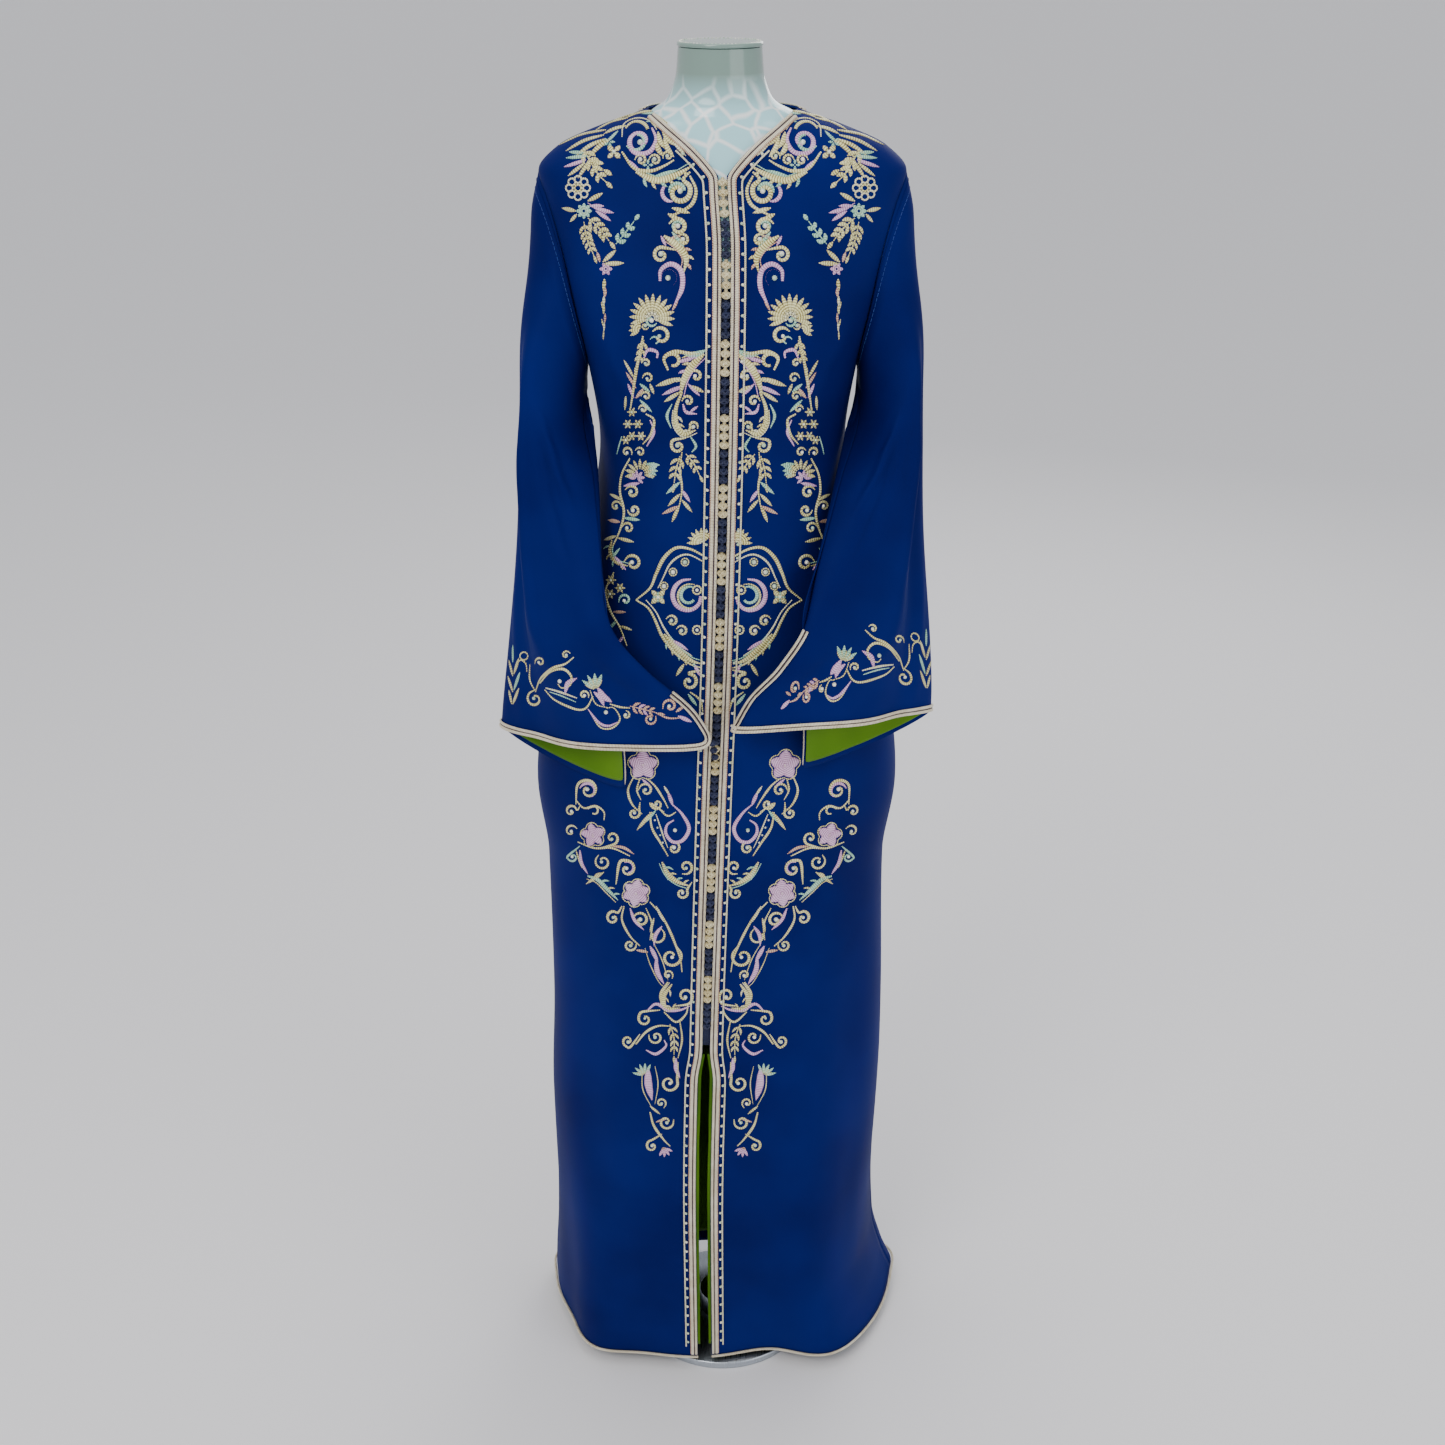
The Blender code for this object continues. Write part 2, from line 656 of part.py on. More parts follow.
def build_picot_cords(panels, collection):
    out = TRIM_GAP + PICOT_RADIUS
    rows = [row_of_height(HEM_Z + 0.030)] + [float(k) for k in range(2, len(body_heights()) - 2)]
    for name in ("left", "right"):
        panel = panels[f"front_{name}"]
        points = [on_panel(panel, *beside_edge(panel, row, PICOT_FROM_EDGE), out) for row in rows]
        tube(f"picot_cord_{name}", points, PICOT_RADIUS, "cream_cord", collection)


def build_hem_cord(panels, collection):
    """The cord follows every column of the hem, from the wearer's left front edge round to the right one."""
    row = row_of_height(HEM_Z + HEM_CORD_RADIUS)
    places = [("front_left", float(k)) for k in range(FRONT_COLUMNS)]
    places += [("back", float(k)) for k in range(BACK_COLUMNS + 1)]
    places += [("front_right", float(k)) for k in reversed(range(FRONT_COLUMNS))]
    out = TRIM_GAP + HEM_CORD_RADIUS
    points = [on_panel(panels[name], row, column, out) for name, column in places]
    tube("hem_cord", points, HEM_CORD_RADIUS, "gold_braid", collection)


def closure_point(panels, z, out):
    """A point midway between the two front edges."""
    row = row_of_height(z)
    return (on_panel(panels["front_left"], row, 0, out) + on_panel(panels["front_right"], row, 0, out)) / 2


def build_closure_tape(panels, collection):
    """The strip that the knots are sewn on. It lies under both front edges, from the slit to the chest."""
    rows = [row_of_height(z) for z in body_heights() if SLIT_TOP_Z <= z <= TAPE_TOP_Z]
    layers = []
    for out in (-(CLOTH + LAYER_GAP), -(CLOTH + LAYER_GAP + LINING)):
        layer = []
        for row in rows:
            sides = []
            for name in ("front_right", "front_left"):
                panel = panels[name]
                under = on_panel(panel, row, column_at(panel, row, TAPE_UNDER), out)
                sides.append((under, on_panel(panel, row, 0, out - TAPE_SAG)))
            layer.append([sides[0][0], sides[0][1], sides[1][1], sides[1][0]])
        layers.append(layer)
    wall("closure_tape", *layers, "navy_knot", collection)


def build_buttons(panels, collection):
    """Knots down the closure in groups of one colour. Each group is one string of beads."""
    for group in range(BUTTON_GROUPS):
        colour = "gold" if group % 2 == 0 else "navy"
        points, sizes = [], []
        for knot in range(KNOTS_IN_GROUP):
            middle = NECK_FRONT_Z - KNOT_PITCH * (group * KNOTS_IN_GROUP + knot + 0.6)
            for shift, size in ((0.46, 0.45), (0.0, 1.0)):
                points.append(closure_point(panels, middle + shift * KNOT_PITCH, KNOT_OUT))
                sizes.append(size)
        points.append(closure_point(panels, middle - 0.46 * KNOT_PITCH, KNOT_OUT))
        sizes.append(0.45)
        tube(f"knots_{group + 1:02d}_{colour}", points, KNOT_RADIUS, f"{colour}_knot", collection, sizes)


def sleeve_frame(along, hand):
    places = [row[0] for row in SLEEVE_SECTIONS]
    found = {}
    for k, field in enumerate(SLEEVE_COLUMNS[1:], 1):
        found[field] = smooth_between(places, [row[k] for row in SLEEVE_SECTIONS], along)
    for field, move in CUFF_MOVES[hand].items():
        found[field] = found[field] + np.array(move) * along**3
    for field in ("front_edge", "back_edge"):
        found[field] = found[field] + np.array(HALFWAY_MOVES[hand]) * math.sin(math.pi * along**HALFWAY_POWER) ** 2
    return found


def hanging_point(turn, along, hand):
    """The sleeve as it hangs: turn goes from -1 at the front layer's inner edge over the outer fold to +1 at the back's."""
    row = sleeve_frame(along, hand)
    ahead = 1 if turn < 0 else -1
    edge = row["front_edge"] if turn < 0 else row["back_edge"]
    swell = float(row["front_swell"] if turn < 0 else row["back_swell"])
    width = edge - row["outer"]
    out = unit(np.cross(width, np.array([0.0, 0.0, 1.0])))
    out = out if out[1] < 0 else -out
    # High up the layers swell straight to the front and the back.
    upper = max(0.0, 1 - along / 0.42) ** 1.2
    out = unit(out * (1 - upper) + np.array([0.10, -1.0, 0.0]) * upper)
    share = (1 - math.cos(math.pi * abs(turn))) / 2
    rise = math.sin(math.pi * abs(turn))
    folds = 0.0
    if turn < 0:
        for fold in SLEEVE_FOLDS:
            near = (share - fold["at"]) / fold["half_width"]
            folds += fold["out"] * math.exp(-near * near)
        folds *= rise * math.sin(math.pi * min(along / 0.9, 1) / 1.6)
    bow = CUFF_BOWS[hand]["front" if turn < 0 else "back"] * rise * along**3
    return row["outer"] + width * share + ahead * out * (swell * rise + folds) + np.array([0.0, 0.0, bow])


def armhole_rim(turn):
    """The left armhole's edge on the body: the shoulder tip at 0, the armpit at -1 and +1."""
    low, high = ARMPIT_Z + 2 * SEAM_GAP, SHOULDER_TIP_Z - 2 * SEAM_GAP
    share = math.cos(math.pi * abs(turn))
    z = (ARMPIT_Z + SHOULDER_TIP_Z) / 2 + (SHOULDER_TIP_Z - ARMPIT_Z) / 2 * share
    widest = ARMHOLE_FRONT if turn < 0 else ARMHOLE_BACK
    half = max(armhole_half_width(z, widest) - 2 * SEAM_GAP, 0.0)
    z = min(max(z, low), high)
    return cloth_point(side_arc(z) + math.copysign(half, turn), z)


rim_cache = {}


def sleeve_plain(turn, along, hand):
    point = hanging_point(turn, along, hand)
    hold = max(0.0, 1 - along / 0.22)
    if hold > 0:
        key = round(turn, 6)
        if key not in rim_cache:
            rim_cache[key] = armhole_rim(turn) - hanging_point(turn, 0.0, hand)
        point = point + rim_cache[key] * hold * hold * (3 - 2 * hold)
    return point


def facet_ways(grid, sewn_rows):
    """At each point of a grid, the way out that keeps a wall's thickness even on all the faces around it."""
    rows, columns = len(grid), len(grid[0])
    around = [[[] for _ in range(columns)] for _ in range(rows)]
    for i in range(rows - 1):
        for j in range(columns - 1):
            first = grid[i + 1][j + 1] - grid[i][j]
            second = grid[i + 1][j] - grid[i][j + 1]
            way = unit(np.cross(second, first))
            for a, b in ((i, j), (i, j + 1), (i + 1, j), (i + 1, j + 1)):
                around[a][b].append(way)
    for i in range(sewn_rows):
        both = around[i][0] + around[i][-1]
        around[i][0] = around[i][-1] = both
    ways = []
    for row in around:
        ways.append([np.linalg.lstsq(np.array(found), np.ones(len(found)), rcond=0.12)[0] for found in row])
    return ways


def sleeve_turns():
    return [-turn for turn in reversed(HALF_TURNS[1:])] + list(HALF_TURNS)


def make_sleeve(hand):
    """The sleeve's outer face on the +X side. The right one is mirrored when it is built."""
    grid = [[sleeve_plain(turn, along, hand) for turn in sleeve_turns()] for along in SLEEVE_STEPS]
    corner = grid[-1][0]
    cut = CORNER_RADIUS[hand] * (1 - math.sqrt(0.5))
    grid[-1][0] = corner + cut * (unit(grid[-1][1] - corner) + unit(grid[-2][0] - corner))
    return {"points": grid, "ways": facet_ways(grid, sewn_row_count())}


def sewn_row_count():
    return sum(1 for along in SLEEVE_STEPS if along <= SLIT_STARTS_ALONG + 1e-6)


def row_along(along):
    return float(np.interp(along, SLEEVE_STEPS, range(len(SLEEVE_STEPS))))


def build_sleeve(panel, hand, collection):
    flip = 1 if hand == "left" else -1
    rows, columns = all_of(panel["points"]), all_of(panel["points"][0])
    args = (collection, sewn_row_count(), flip)
    panel_wall(f"sleeve_{hand}", panel, rows, columns, 0.0, -CLOTH, "royal_crepe", *args)


def build_sleeve_lining(panel, hand, collection):
    flip = 1 if hand == "left" else -1
    outside = -(CLOTH + LAYER_GAP)
    rows = [row_along(along) for along in LINING_STEPS]
    columns = all_of(panel["points"][0])
    args = ("green_lining", collection, 0, flip)
    panel_wall(f"sleeve_lining_{hand}", panel, rows, columns, outside, outside - LINING, *args)


def build_cuff_braid(panel, hand, collection):
    """Down the slit's front edge, round the corner, along the whole cuff and up the slit's back edge."""
    turn = np.array([1.0 if hand == "left" else -1.0, 1.0, 1.0])
    last_row, last_column = len(panel["points"]) - 1, len(panel["points"][0]) - 1
    slit_rows = [sewn_row_count() - 1 + 0.3] + [float(k) for k in range(sewn_row_count(), last_row)]
    section = braid_section(CUFF_BRAID_WIDTH)
    rings = []

    def corner(across, from_last):
        column = column_at(panel, last_row, across, from_last)
        return row_at(panel, column, across), column

    for row in slit_rows:
        rings.append([(row, column_at(panel, row, across)) for across, _ in section])
    rings.append([corner(across, False) for across, _ in section])
    for column in range(1, last_column):
        rings.append([(row_at(panel, column, across), column) for across, _ in section])
    rings.append([corner(across, True) for across, _ in section])
    for row in reversed(slit_rows[1:]):
        rings.append([(row, column_at(panel, row, across, True)) for across, _ in section])
    solid = []
    for ring in rings:
        solid.append([on_panel(panel, *place_at, out) * turn for place_at, (_, out) in zip(ring, section)])
    loft(f"cuff_braid_{hand}", solid, "gold_braid", collection)


def build_cuff_knot(panel, collection):
    """It hangs a seam's gap off the corner's braid, in the open space between the two cuffs."""
    corner = on_panel(panel, len(panel["points"]) - 1, 0, TRIM_GAP + BRAID_HEIGHT / 2) * np.array([-1.0, 1.0, 1.0])
    points, sizes = [], []
    for row in CUFF_KNOT:
        bead = dict(zip(CUFF_KNOT_COLUMNS, row))
        points.append(corner + np.array([CUFF_KNOT_SEAT + bead["inwards"], 0, -bead["down"]]))
        sizes.append(bead["size"])
    tube("cuff_knot", points, KNOT_RADIUS, "navy_knot", collection, sizes)


def superellipse_ring(size, square, shift=0.0, grow=0.0):
    ring = []
    side = 0.004
    for k in range(FORM_COLUMNS):
        turn = 2 * math.pi * k / FORM_COLUMNS
        across, ahead = math.sin(turn), math.cos(turn)
        x = shift + (size["half_width"] + grow) * math.copysign(abs(across) ** (2 / square), across)
        depth = side - size["front"] + grow if ahead > 0 else size["back"] - side + grow
        y = side - depth * math.copysign(abs(ahead) ** (2 / square), ahead)
        ring.append(np.array([x, y, size["z"]]))
    return ring


def form_arc(column, z):
    """The place round the cloth that a column of the form lies under."""
    round_half = 2 * column / FORM_COLUMNS
    share = 2 * min(round_half, 2 - round_half)
    arc = side_arc(z) * min(share, 1) + (back_arc(z) - side_arc(z)) * max(share - 1, 0)
    return math.copysign(arc, 1 - round_half)


def build_form(collection):
    rings = []
    for row in FORM_SECTIONS:
        rings.append(superellipse_ring(dict(zip(FORM_COLUMNS_NAMED, row)), 2.25))
    inside = -(CLOTH + FORM_GAP)
    for z in body_heights():
        if z > FORM_SECTIONS[-1][0] + 0.01:
            rings.append([cloth_point(form_arc(k, z), z, inside) for k in range(FORM_COLUMNS)])
    for row in NECK_SECTIONS:
        rings.append(superellipse_ring(dict(zip(FORM_COLUMNS_NAMED, row)), 2.0, NECK_SHIFT))
    loft("dress_form", rings, "pale_form", collection)
    top = dict(zip(FORM_COLUMNS_NAMED, NECK_SECTIONS[-1]))
    rings = []
    for rise, grow in ((0, 0.0004), (0.001, 0.0010), (CAP_THICKNESS - 0.001, 0.0006), (CAP_THICKNESS, -0.0010)):
        level = dict(top, z=top["z"] + PART_GAP + rise)
        rings.append(superellipse_ring(level, 2.0, NECK_SHIFT, grow))
    loft("neck_cap", rings, "pale_form", collection)


def build_stand(collection):
    disc("stand_base", STAND_RADIUS, 0.0, STAND_THICKNESS, (0, STAND_Y), "steel", collection, sides=36)
    low = STAND_THICKNESS + PART_GAP
    disc("stand_collar", COLLAR_RADIUS, low, COLLAR_HEIGHT, (0, STAND_Y), "steel", collection, sides=20)
    low += COLLAR_HEIGHT + PART_GAP
    high = FORM_SECTIONS[0][0] - PART_GAP
    disc("stand_pole", POLE_RADIUS, low, high - low, (0, STAND_Y), "steel", collection, sides=16)


def main():
    for old in list(bpy.data.objects):
        bpy.data.objects.remove(old)
    kaftan = bpy.data.collections.new("kaftan_on_dress_form")
    bpy.context.scene.collection.children.link(kaftan)
    panels = {"front_left": make_front(1), "front_right": make_front(-1), "back": make_back()}
    build_body(panels, kaftan)
    build_skirt_linings(panels, kaftan)
    build_sfifa(panels, kaftan)
    build_picot_cords(panels, kaftan)
    build_hem_cord(panels, kaftan)
    build_closure_tape(panels, kaftan)
    build_buttons(panels, kaftan)
    for hand in ("left", "right"):
        panel = make_sleeve(hand)
        build_sleeve(panel, hand, kaftan)
        build_sleeve_lining(panel, hand, kaftan)
        build_cuff_braid(panel, hand, kaftan)
    build_cuff_knot(panel, kaftan)
    build_form(kaftan)
    build_stand(kaftan)


main()
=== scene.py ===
import math
import random

import bmesh
import bpy
import numpy as np
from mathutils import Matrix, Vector
from mathutils.bvhtree import BVHTree


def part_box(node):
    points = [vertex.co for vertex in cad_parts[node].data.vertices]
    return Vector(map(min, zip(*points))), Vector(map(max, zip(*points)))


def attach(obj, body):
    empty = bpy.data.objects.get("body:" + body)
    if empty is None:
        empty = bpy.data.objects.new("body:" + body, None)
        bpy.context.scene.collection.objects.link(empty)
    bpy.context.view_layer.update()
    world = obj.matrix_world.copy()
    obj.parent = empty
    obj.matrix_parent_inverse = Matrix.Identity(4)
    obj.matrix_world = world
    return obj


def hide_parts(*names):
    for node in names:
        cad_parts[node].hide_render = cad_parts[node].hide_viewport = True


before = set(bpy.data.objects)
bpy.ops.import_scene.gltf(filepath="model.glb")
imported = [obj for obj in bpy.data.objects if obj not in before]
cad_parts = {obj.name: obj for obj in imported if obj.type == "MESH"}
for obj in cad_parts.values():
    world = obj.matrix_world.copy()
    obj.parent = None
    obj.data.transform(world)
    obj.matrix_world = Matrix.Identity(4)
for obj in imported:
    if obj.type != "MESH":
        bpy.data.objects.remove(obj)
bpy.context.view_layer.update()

photoSize = 1445  # pixels each way
focalPixels = 1860.0
camTilt = math.radians(24.2)  # down from level
camPlace = np.array([0.0, -1.923, 1.72])

camData = bpy.data.cameras.new("photo_camera")
camData.sensor_width = 36.0
camData.lens = 36.0 * focalPixels / photoSize
camera = bpy.data.objects.new("photo_camera", camData)
camera.location = camPlace
camera.rotation_euler = (math.pi / 2 - camTilt, 0, 0)
bpy.context.scene.collection.objects.link(camera)
bpy.context.scene.camera = camera


def rayThrough(u, v):
    # direction of the ray through a pixel of the photograph
    right = (u - photoSize / 2) / focalPixels
    down = (v - photoSize / 2) / focalPixels
    cosT, sinT = math.cos(camTilt), math.sin(camTilt)
    way = np.array([right, cosT - down * sinT, -sinT - down * cosT])
    return way / np.linalg.norm(way)


def nodeGroup(name, inputs, outputs):
    group = bpy.data.node_groups.new(name, "ShaderNodeTree")
    for label, kind, value in inputs:
        made = group.interface.new_socket(label, in_out="INPUT", socket_type="NodeSocket" + kind)
        if value is not None:
            made.default_value = value
    for label, kind in outputs:
        group.interface.new_socket(label, in_out="OUTPUT", socket_type="NodeSocket" + kind)
    return group, group.nodes.new("NodeGroupInput"), group.nodes.new("NodeGroupOutput")


def addNode(tree, kind, settings=None, **values):
    # values fill inputs by name, with _ for a space
    node = tree.nodes.new("ShaderNode" + kind)
    for field, value in (settings or {}).items():
        setattr(node, field, value)
    for field, value in values.items():
        node.inputs[field.replace("_", " ")].default_value = value
    return node


def mathNode(tree, operation, a, b=None):
    node = tree.nodes.new("ShaderNodeMath")
    node.operation = operation
    for k, value in enumerate((a, b)):
        if value is None:
            continue
        if isinstance(value, (int, float)):
            node.inputs[k].default_value = value
        else:
            tree.links.new(value, node.inputs[k])
    return node.outputs[0]


def mixColour(tree, share, a, b):
    node = tree.nodes.new("ShaderNodeMix")
    node.data_type = "RGBA"
    for k, value in ((0, share), (6, a), (7, b)):
        if isinstance(value, (int, float, tuple)):
            node.inputs[k].default_value = value
        else:
            tree.links.new(value, node.inputs[k])
    return node.outputs[2]


def rampBetween(tree, value, low, high):
    # 0 at low, 1 at high
    node = tree.nodes.new("ShaderNodeMapRange")
    node.inputs["From Min"].default_value = low
    node.inputs["From Max"].default_value = high
    tree.links.new(value, node.inputs["Value"])
    return node.outputs[0]


def noiseAt(tree, place, **values):
    # a noise texture over a place; its sockets by name
    noise = addNode(tree, "TexNoise", None, **values)
    tree.links.new(place, noise.inputs["Vector"])
    return noise


def objectPlace(tree):
    return addNode(tree, "TexCoord").outputs["Object"]


def crepeGroup():
    # fine woven grain of a cloth: a height and a slow colour variation
    group, start, end = nodeGroup(
        "woven_grain", [("Threads", "Float", 900.0), ("Patch", "Float", 6.0)],
        [("Height", "Float"), ("Patches", "Float")]
    )
    place = objectPlace(group)
    grain = noiseAt(group, place, Detail=2.0, Roughness=0.6)
    group.links.new(start.outputs["Threads"], grain.inputs["Scale"])
    patch = noiseAt(group, place, Detail=3.0, Roughness=0.5)
    group.links.new(start.outputs["Patch"], patch.inputs["Scale"])
    group.links.new(grain.outputs["Fac"], end.inputs["Height"])
    group.links.new(patch.outputs["Fac"], end.inputs["Patches"])
    return group


def threadGroup():
    # laid thread seen through a stroke's UV: u runs along it in metres, v across it from 0 to 1
    group, start, end = nodeGroup(
        "laid_thread",
        [("Pitch", "Float", 0.0012), ("Slant", "Float", 0.6), ("EdgeShade", "Float", 0.0)],
        [("Height", "Float"), ("Glint", "Float"), ("Patches", "Float"), ("Shade", "Float")],
    )
    uv = addNode(group, "UVMap").outputs["UV"]
    parts = addNode(group, "SeparateXYZ")
    group.links.new(uv, parts.inputs[0])
    along = mathNode(group, "DIVIDE", parts.outputs["X"], start.outputs["Pitch"])
    across = mathNode(group, "SUBTRACT", parts.outputs["Y"], 0.5)
    fromMiddle = mathNode(group, "ABSOLUTE", across)
    lean = mathNode(group, "MULTIPLY", fromMiddle, start.outputs["Slant"])
    # painted shade: darker towards both edges of the stroke
    rim = rampBetween(group, fromMiddle, 0.24, 0.46)
    group.links.new(mathNode(group, "MULTIPLY", rim, start.outputs["EdgeShade"]), end.inputs["Shade"])
    turn = mathNode(group, "MULTIPLY", mathNode(group, "ADD", along, lean), 2 * math.pi)
    wave = mathNode(group, "SINE", turn)
    height = mathNode(group, "ADD", mathNode(group, "MULTIPLY", wave, 0.5), 0.5)
    place = objectPlace(group)
    speck = noiseAt(group, place, Scale=1400.0, Detail=1.0)
    patch = noiseAt(group, place, Scale=70.0, Detail=2.0)
    glint = mathNode(group, "MULTIPLY", height, speck.outputs["Fac"])
    group.links.new(height, end.inputs["Height"])
    group.links.new(glint, end.inputs["Glint"])
    group.links.new(patch.outputs["Fac"], end.inputs["Patches"])
    return group


wovenGrain = crepeGroup()
laidThread = threadGroup()


def newMaterial(name, colour, roughness, **sockets):
    made = bpy.data.materials.new(name)
    made.use_nodes = True
    tree = made.node_tree
    shader = tree.nodes["Principled BSDF"]
    shader.inputs["Base Color"].default_value = (*colour, 1.0)
    shader.inputs["Roughness"].default_value = roughness
    for field, value in sockets.items():
        shader.inputs[field.replace("_", " ")].default_value = value
    made.diffuse_color = (*colour, 1.0)
    return made, tree, shader


def addBump(tree, shader, height, strength, distance):
    bump = addNode(tree, "Bump", None, Strength=strength, Distance=distance)
    tree.links.new(height, bump.inputs["Height"])
    tree.links.new(bump.outputs["Normal"], shader.inputs["Normal"])


def clothMaterial(name, colour, lighter, roughness, **sockets):
    made, tree, shader = newMaterial(name, colour, roughness, **sockets)
    grain = tree.nodes.new("ShaderNodeGroup")
    grain.node_tree = wovenGrain
    patches = rampBetween(tree, grain.outputs["Patches"], 0.35, 0.65)
    tone = mixColour(tree, patches, (*colour, 1.0), (*lighter, 1.0))
    specks = rampBetween(tree, grain.outputs["Height"], 0.35, 0.75)
    tone = mixColour(tree, mathNode(tree, "MULTIPLY", specks, 0.25), tone, (*lighter, 1.0))
    tree.links.new(tone, shader.inputs["Base Color"])
    addBump(tree, shader, grain.outputs["Height"], 0.35, 0.00025)
    return made


def threadMaterial(name, colour, bright, shadeTone, pitch, roughness, slant=0.6, edgeShade=0.0, **sockets):
    made, tree, shader = newMaterial(name, colour, roughness, **sockets)
    thread = tree.nodes.new("ShaderNodeGroup")
    thread.node_tree = laidThread
    thread.inputs["Pitch"].default_value = pitch
    thread.inputs["Slant"].default_value = slant
    thread.inputs["EdgeShade"].default_value = edgeShade
    # painted shade in the grooves between the thread's turns: darker where the height is low
    low = rampBetween(tree, thread.outputs["Height"], 0.0, 0.45)
    tone = mixColour(tree, low, (*shadeTone, 1.0), (*colour, 1.0))
    glint = rampBetween(tree, thread.outputs["Glint"], 0.30, 0.62)
    tone = mixColour(tree, glint, tone, (*bright, 1.0))
    patch = rampBetween(tree, thread.outputs["Patches"], 0.35, 0.7)
    tone = mixColour(tree, mathNode(tree, "MULTIPLY", patch, 0.35), tone, (*bright, 1.0))
    # painted shade at the stroke's edges
    tone = mixColour(tree, thread.outputs["Shade"], tone, (*shadeTone, 1.0))
    tree.links.new(tone, shader.inputs["Base Color"])
    addBump(tree, shader, thread.outputs["Height"], 0.6, 0.0005)
    return made


blueCrepe = clothMaterial(
    "blue_crepe", (0.0006, 0.0036, 0.0800), (0.0012, 0.0080, 0.1220), 0.60,
    Sheen_Weight=0.02, Sheen_Roughness=0.35, Sheen_Tint=(0.02, 0.20, 0.90, 1.0), Specular_IOR_Level=0.05,
)
greenSatin = clothMaterial(
    "green_satin", (0.0380, 0.1150, 0.0010), (0.0950, 0.2200, 0.0030), 0.42,
    Sheen_Weight=0.08, Sheen_Roughness=0.4, Sheen_Tint=(0.5, 0.8, 0.1, 1.0), Specular_IOR_Level=0.12,
)
goldThread = threadMaterial(
    "gold_thread", (0.76, 0.66, 0.22), (1.0, 1.0, 0.60), (0.12, 0.08, 0.02), 0.0026, 0.34, edgeShade=0.85,
    Metallic=0.20,
)
paleThread = threadMaterial(
    "pale_gold_thread", (0.88, 0.84, 0.46), (1.0, 1.0, 0.80), (0.20, 0.16, 0.06), 0.0026, 0.34, edgeShade=0.8,
    Metallic=0.12,
)
pinkThread = threadMaterial(
    "lilac_thread", (0.66, 0.36, 0.62), (0.92, 0.68, 0.88), (0.26, 0.09, 0.20), 0.0024, 0.40, edgeShade=0.6,
    Metallic=0.05,
)
mintThread = threadMaterial(
    "mint_thread", (0.30, 0.60, 0.42), (0.66, 0.92, 0.76), (0.07, 0.20, 0.11), 0.0024, 0.40, edgeShade=0.7,
    Metallic=0.05,
)
roseThread = threadMaterial(
    "rose_gold_thread", (0.60, 0.34, 0.22), (0.95, 0.68, 0.52), (0.18, 0.07, 0.04), 0.0024, 0.36,
    edgeShade=0.6, Metallic=0.20,
)
creamBraid = threadMaterial(
    "cream_braid", (0.78, 0.68, 0.46), (1.0, 0.97, 0.82), (0.24, 0.15, 0.08), 0.0016, 0.38, slant=0.9,
    Metallic=0.15,
)
creamCord = threadMaterial(
    "cream_cord", (0.84, 0.80, 0.52), (1.0, 1.0, 0.84), (0.34, 0.27, 0.12), 0.0018, 0.38, slant=1.2,
    Metallic=0.10,
)
darkCord = threadMaterial(
    "dark_cord", (0.030, 0.014, 0.040), (0.10, 0.05, 0.09), (0.006, 0.004, 0.012), 0.0014, 0.6, slant=0.9,
)
goldKnot = threadMaterial(
    "gold_knot_thread", (0.78, 0.64, 0.30), (1.0, 0.96, 0.70), (0.24, 0.15, 0.05), 0.0012, 0.36, slant=1.0,
    Metallic=0.20,
)
navyKnot = threadMaterial(
    "navy_knot_thread", (0.006, 0.010, 0.050), (0.030, 0.045, 0.130), (0.001, 0.002, 0.010), 0.0010, 0.55,
    slant=1.0,
)
seamThread = threadMaterial(
    "seam_thread", (0.010, 0.040, 0.240), (0.050, 0.120, 0.450), (0.002, 0.008, 0.070), 0.0010, 0.50,
)


def pearlMaterial():
    made, tree, shader = newMaterial(
        "pearl", (0.80, 0.86, 0.74), 0.16, Metallic=0.15, Coat_Weight=0.6, Coat_Roughness=0.08,
    )
    place = objectPlace(tree)
    tint = noiseAt(tree, place, Scale=160.0, Detail=1.0)
    share = rampBetween(tree, tint.outputs["Fac"], 0.4, 0.6)
    tone = mixColour(tree, share, (0.45, 0.62, 0.45, 1.0), (0.95, 0.93, 0.80, 1.0))
    tree.links.new(tone, shader.inputs["Base Color"])
    addBump(tree, shader, tint.outputs["Fac"], 0.15, 0.0003)
    return made


pearlBead = pearlMaterial()


def formMaterial():
    # pale glossy shell; below the neck a web of painted white highlights runs over it
    made, tree, shader = newMaterial(
        "mint_shell", (0.34, 0.50, 0.45), 0.16, Coat_Weight=0.5, Coat_Roughness=0.06, Specular_IOR_Level=0.5,
    )
    place = objectPlace(tree)
    warp = noiseAt(tree, place, Scale=14.0, Detail=2.0)
    moved = addNode(tree, "VectorMath", {"operation": "MULTIPLY_ADD"})
    tree.links.new(warp.outputs["Color"], moved.inputs[0])
    moved.inputs[1].default_value = (0.03, 0.03, 0.03)
    tree.links.new(place, moved.inputs[2])
    cells = addNode(tree, "TexVoronoi", {"feature": "DISTANCE_TO_EDGE"}, Scale=42.0)
    tree.links.new(moved.outputs[0], cells.inputs["Vector"])
    # painted highlights: a web of white lines below the neck
    highlightWeb = rampBetween(tree, cells.outputs["Distance"], 0.11, 0.02)
    parts = addNode(tree, "SeparateXYZ")
    tree.links.new(place, parts.inputs[0])
    low = rampBetween(tree, parts.outputs["Z"], 1.555, 1.520)
    tone = mixColour(tree, low, (0.20, 0.30, 0.26, 1.0), (0.42, 0.76, 0.82, 1.0))
    tone = mixColour(tree, mathNode(tree, "MULTIPLY", highlightWeb, low), tone, (0.93, 0.98, 0.97, 1.0))
    tree.links.new(tone, shader.inputs["Base Color"])
    height = noiseAt(tree, place, Scale=30.0, Detail=2.0)
    addBump(tree, shader, height.outputs["Fac"], 0.06, 0.002)
    return made


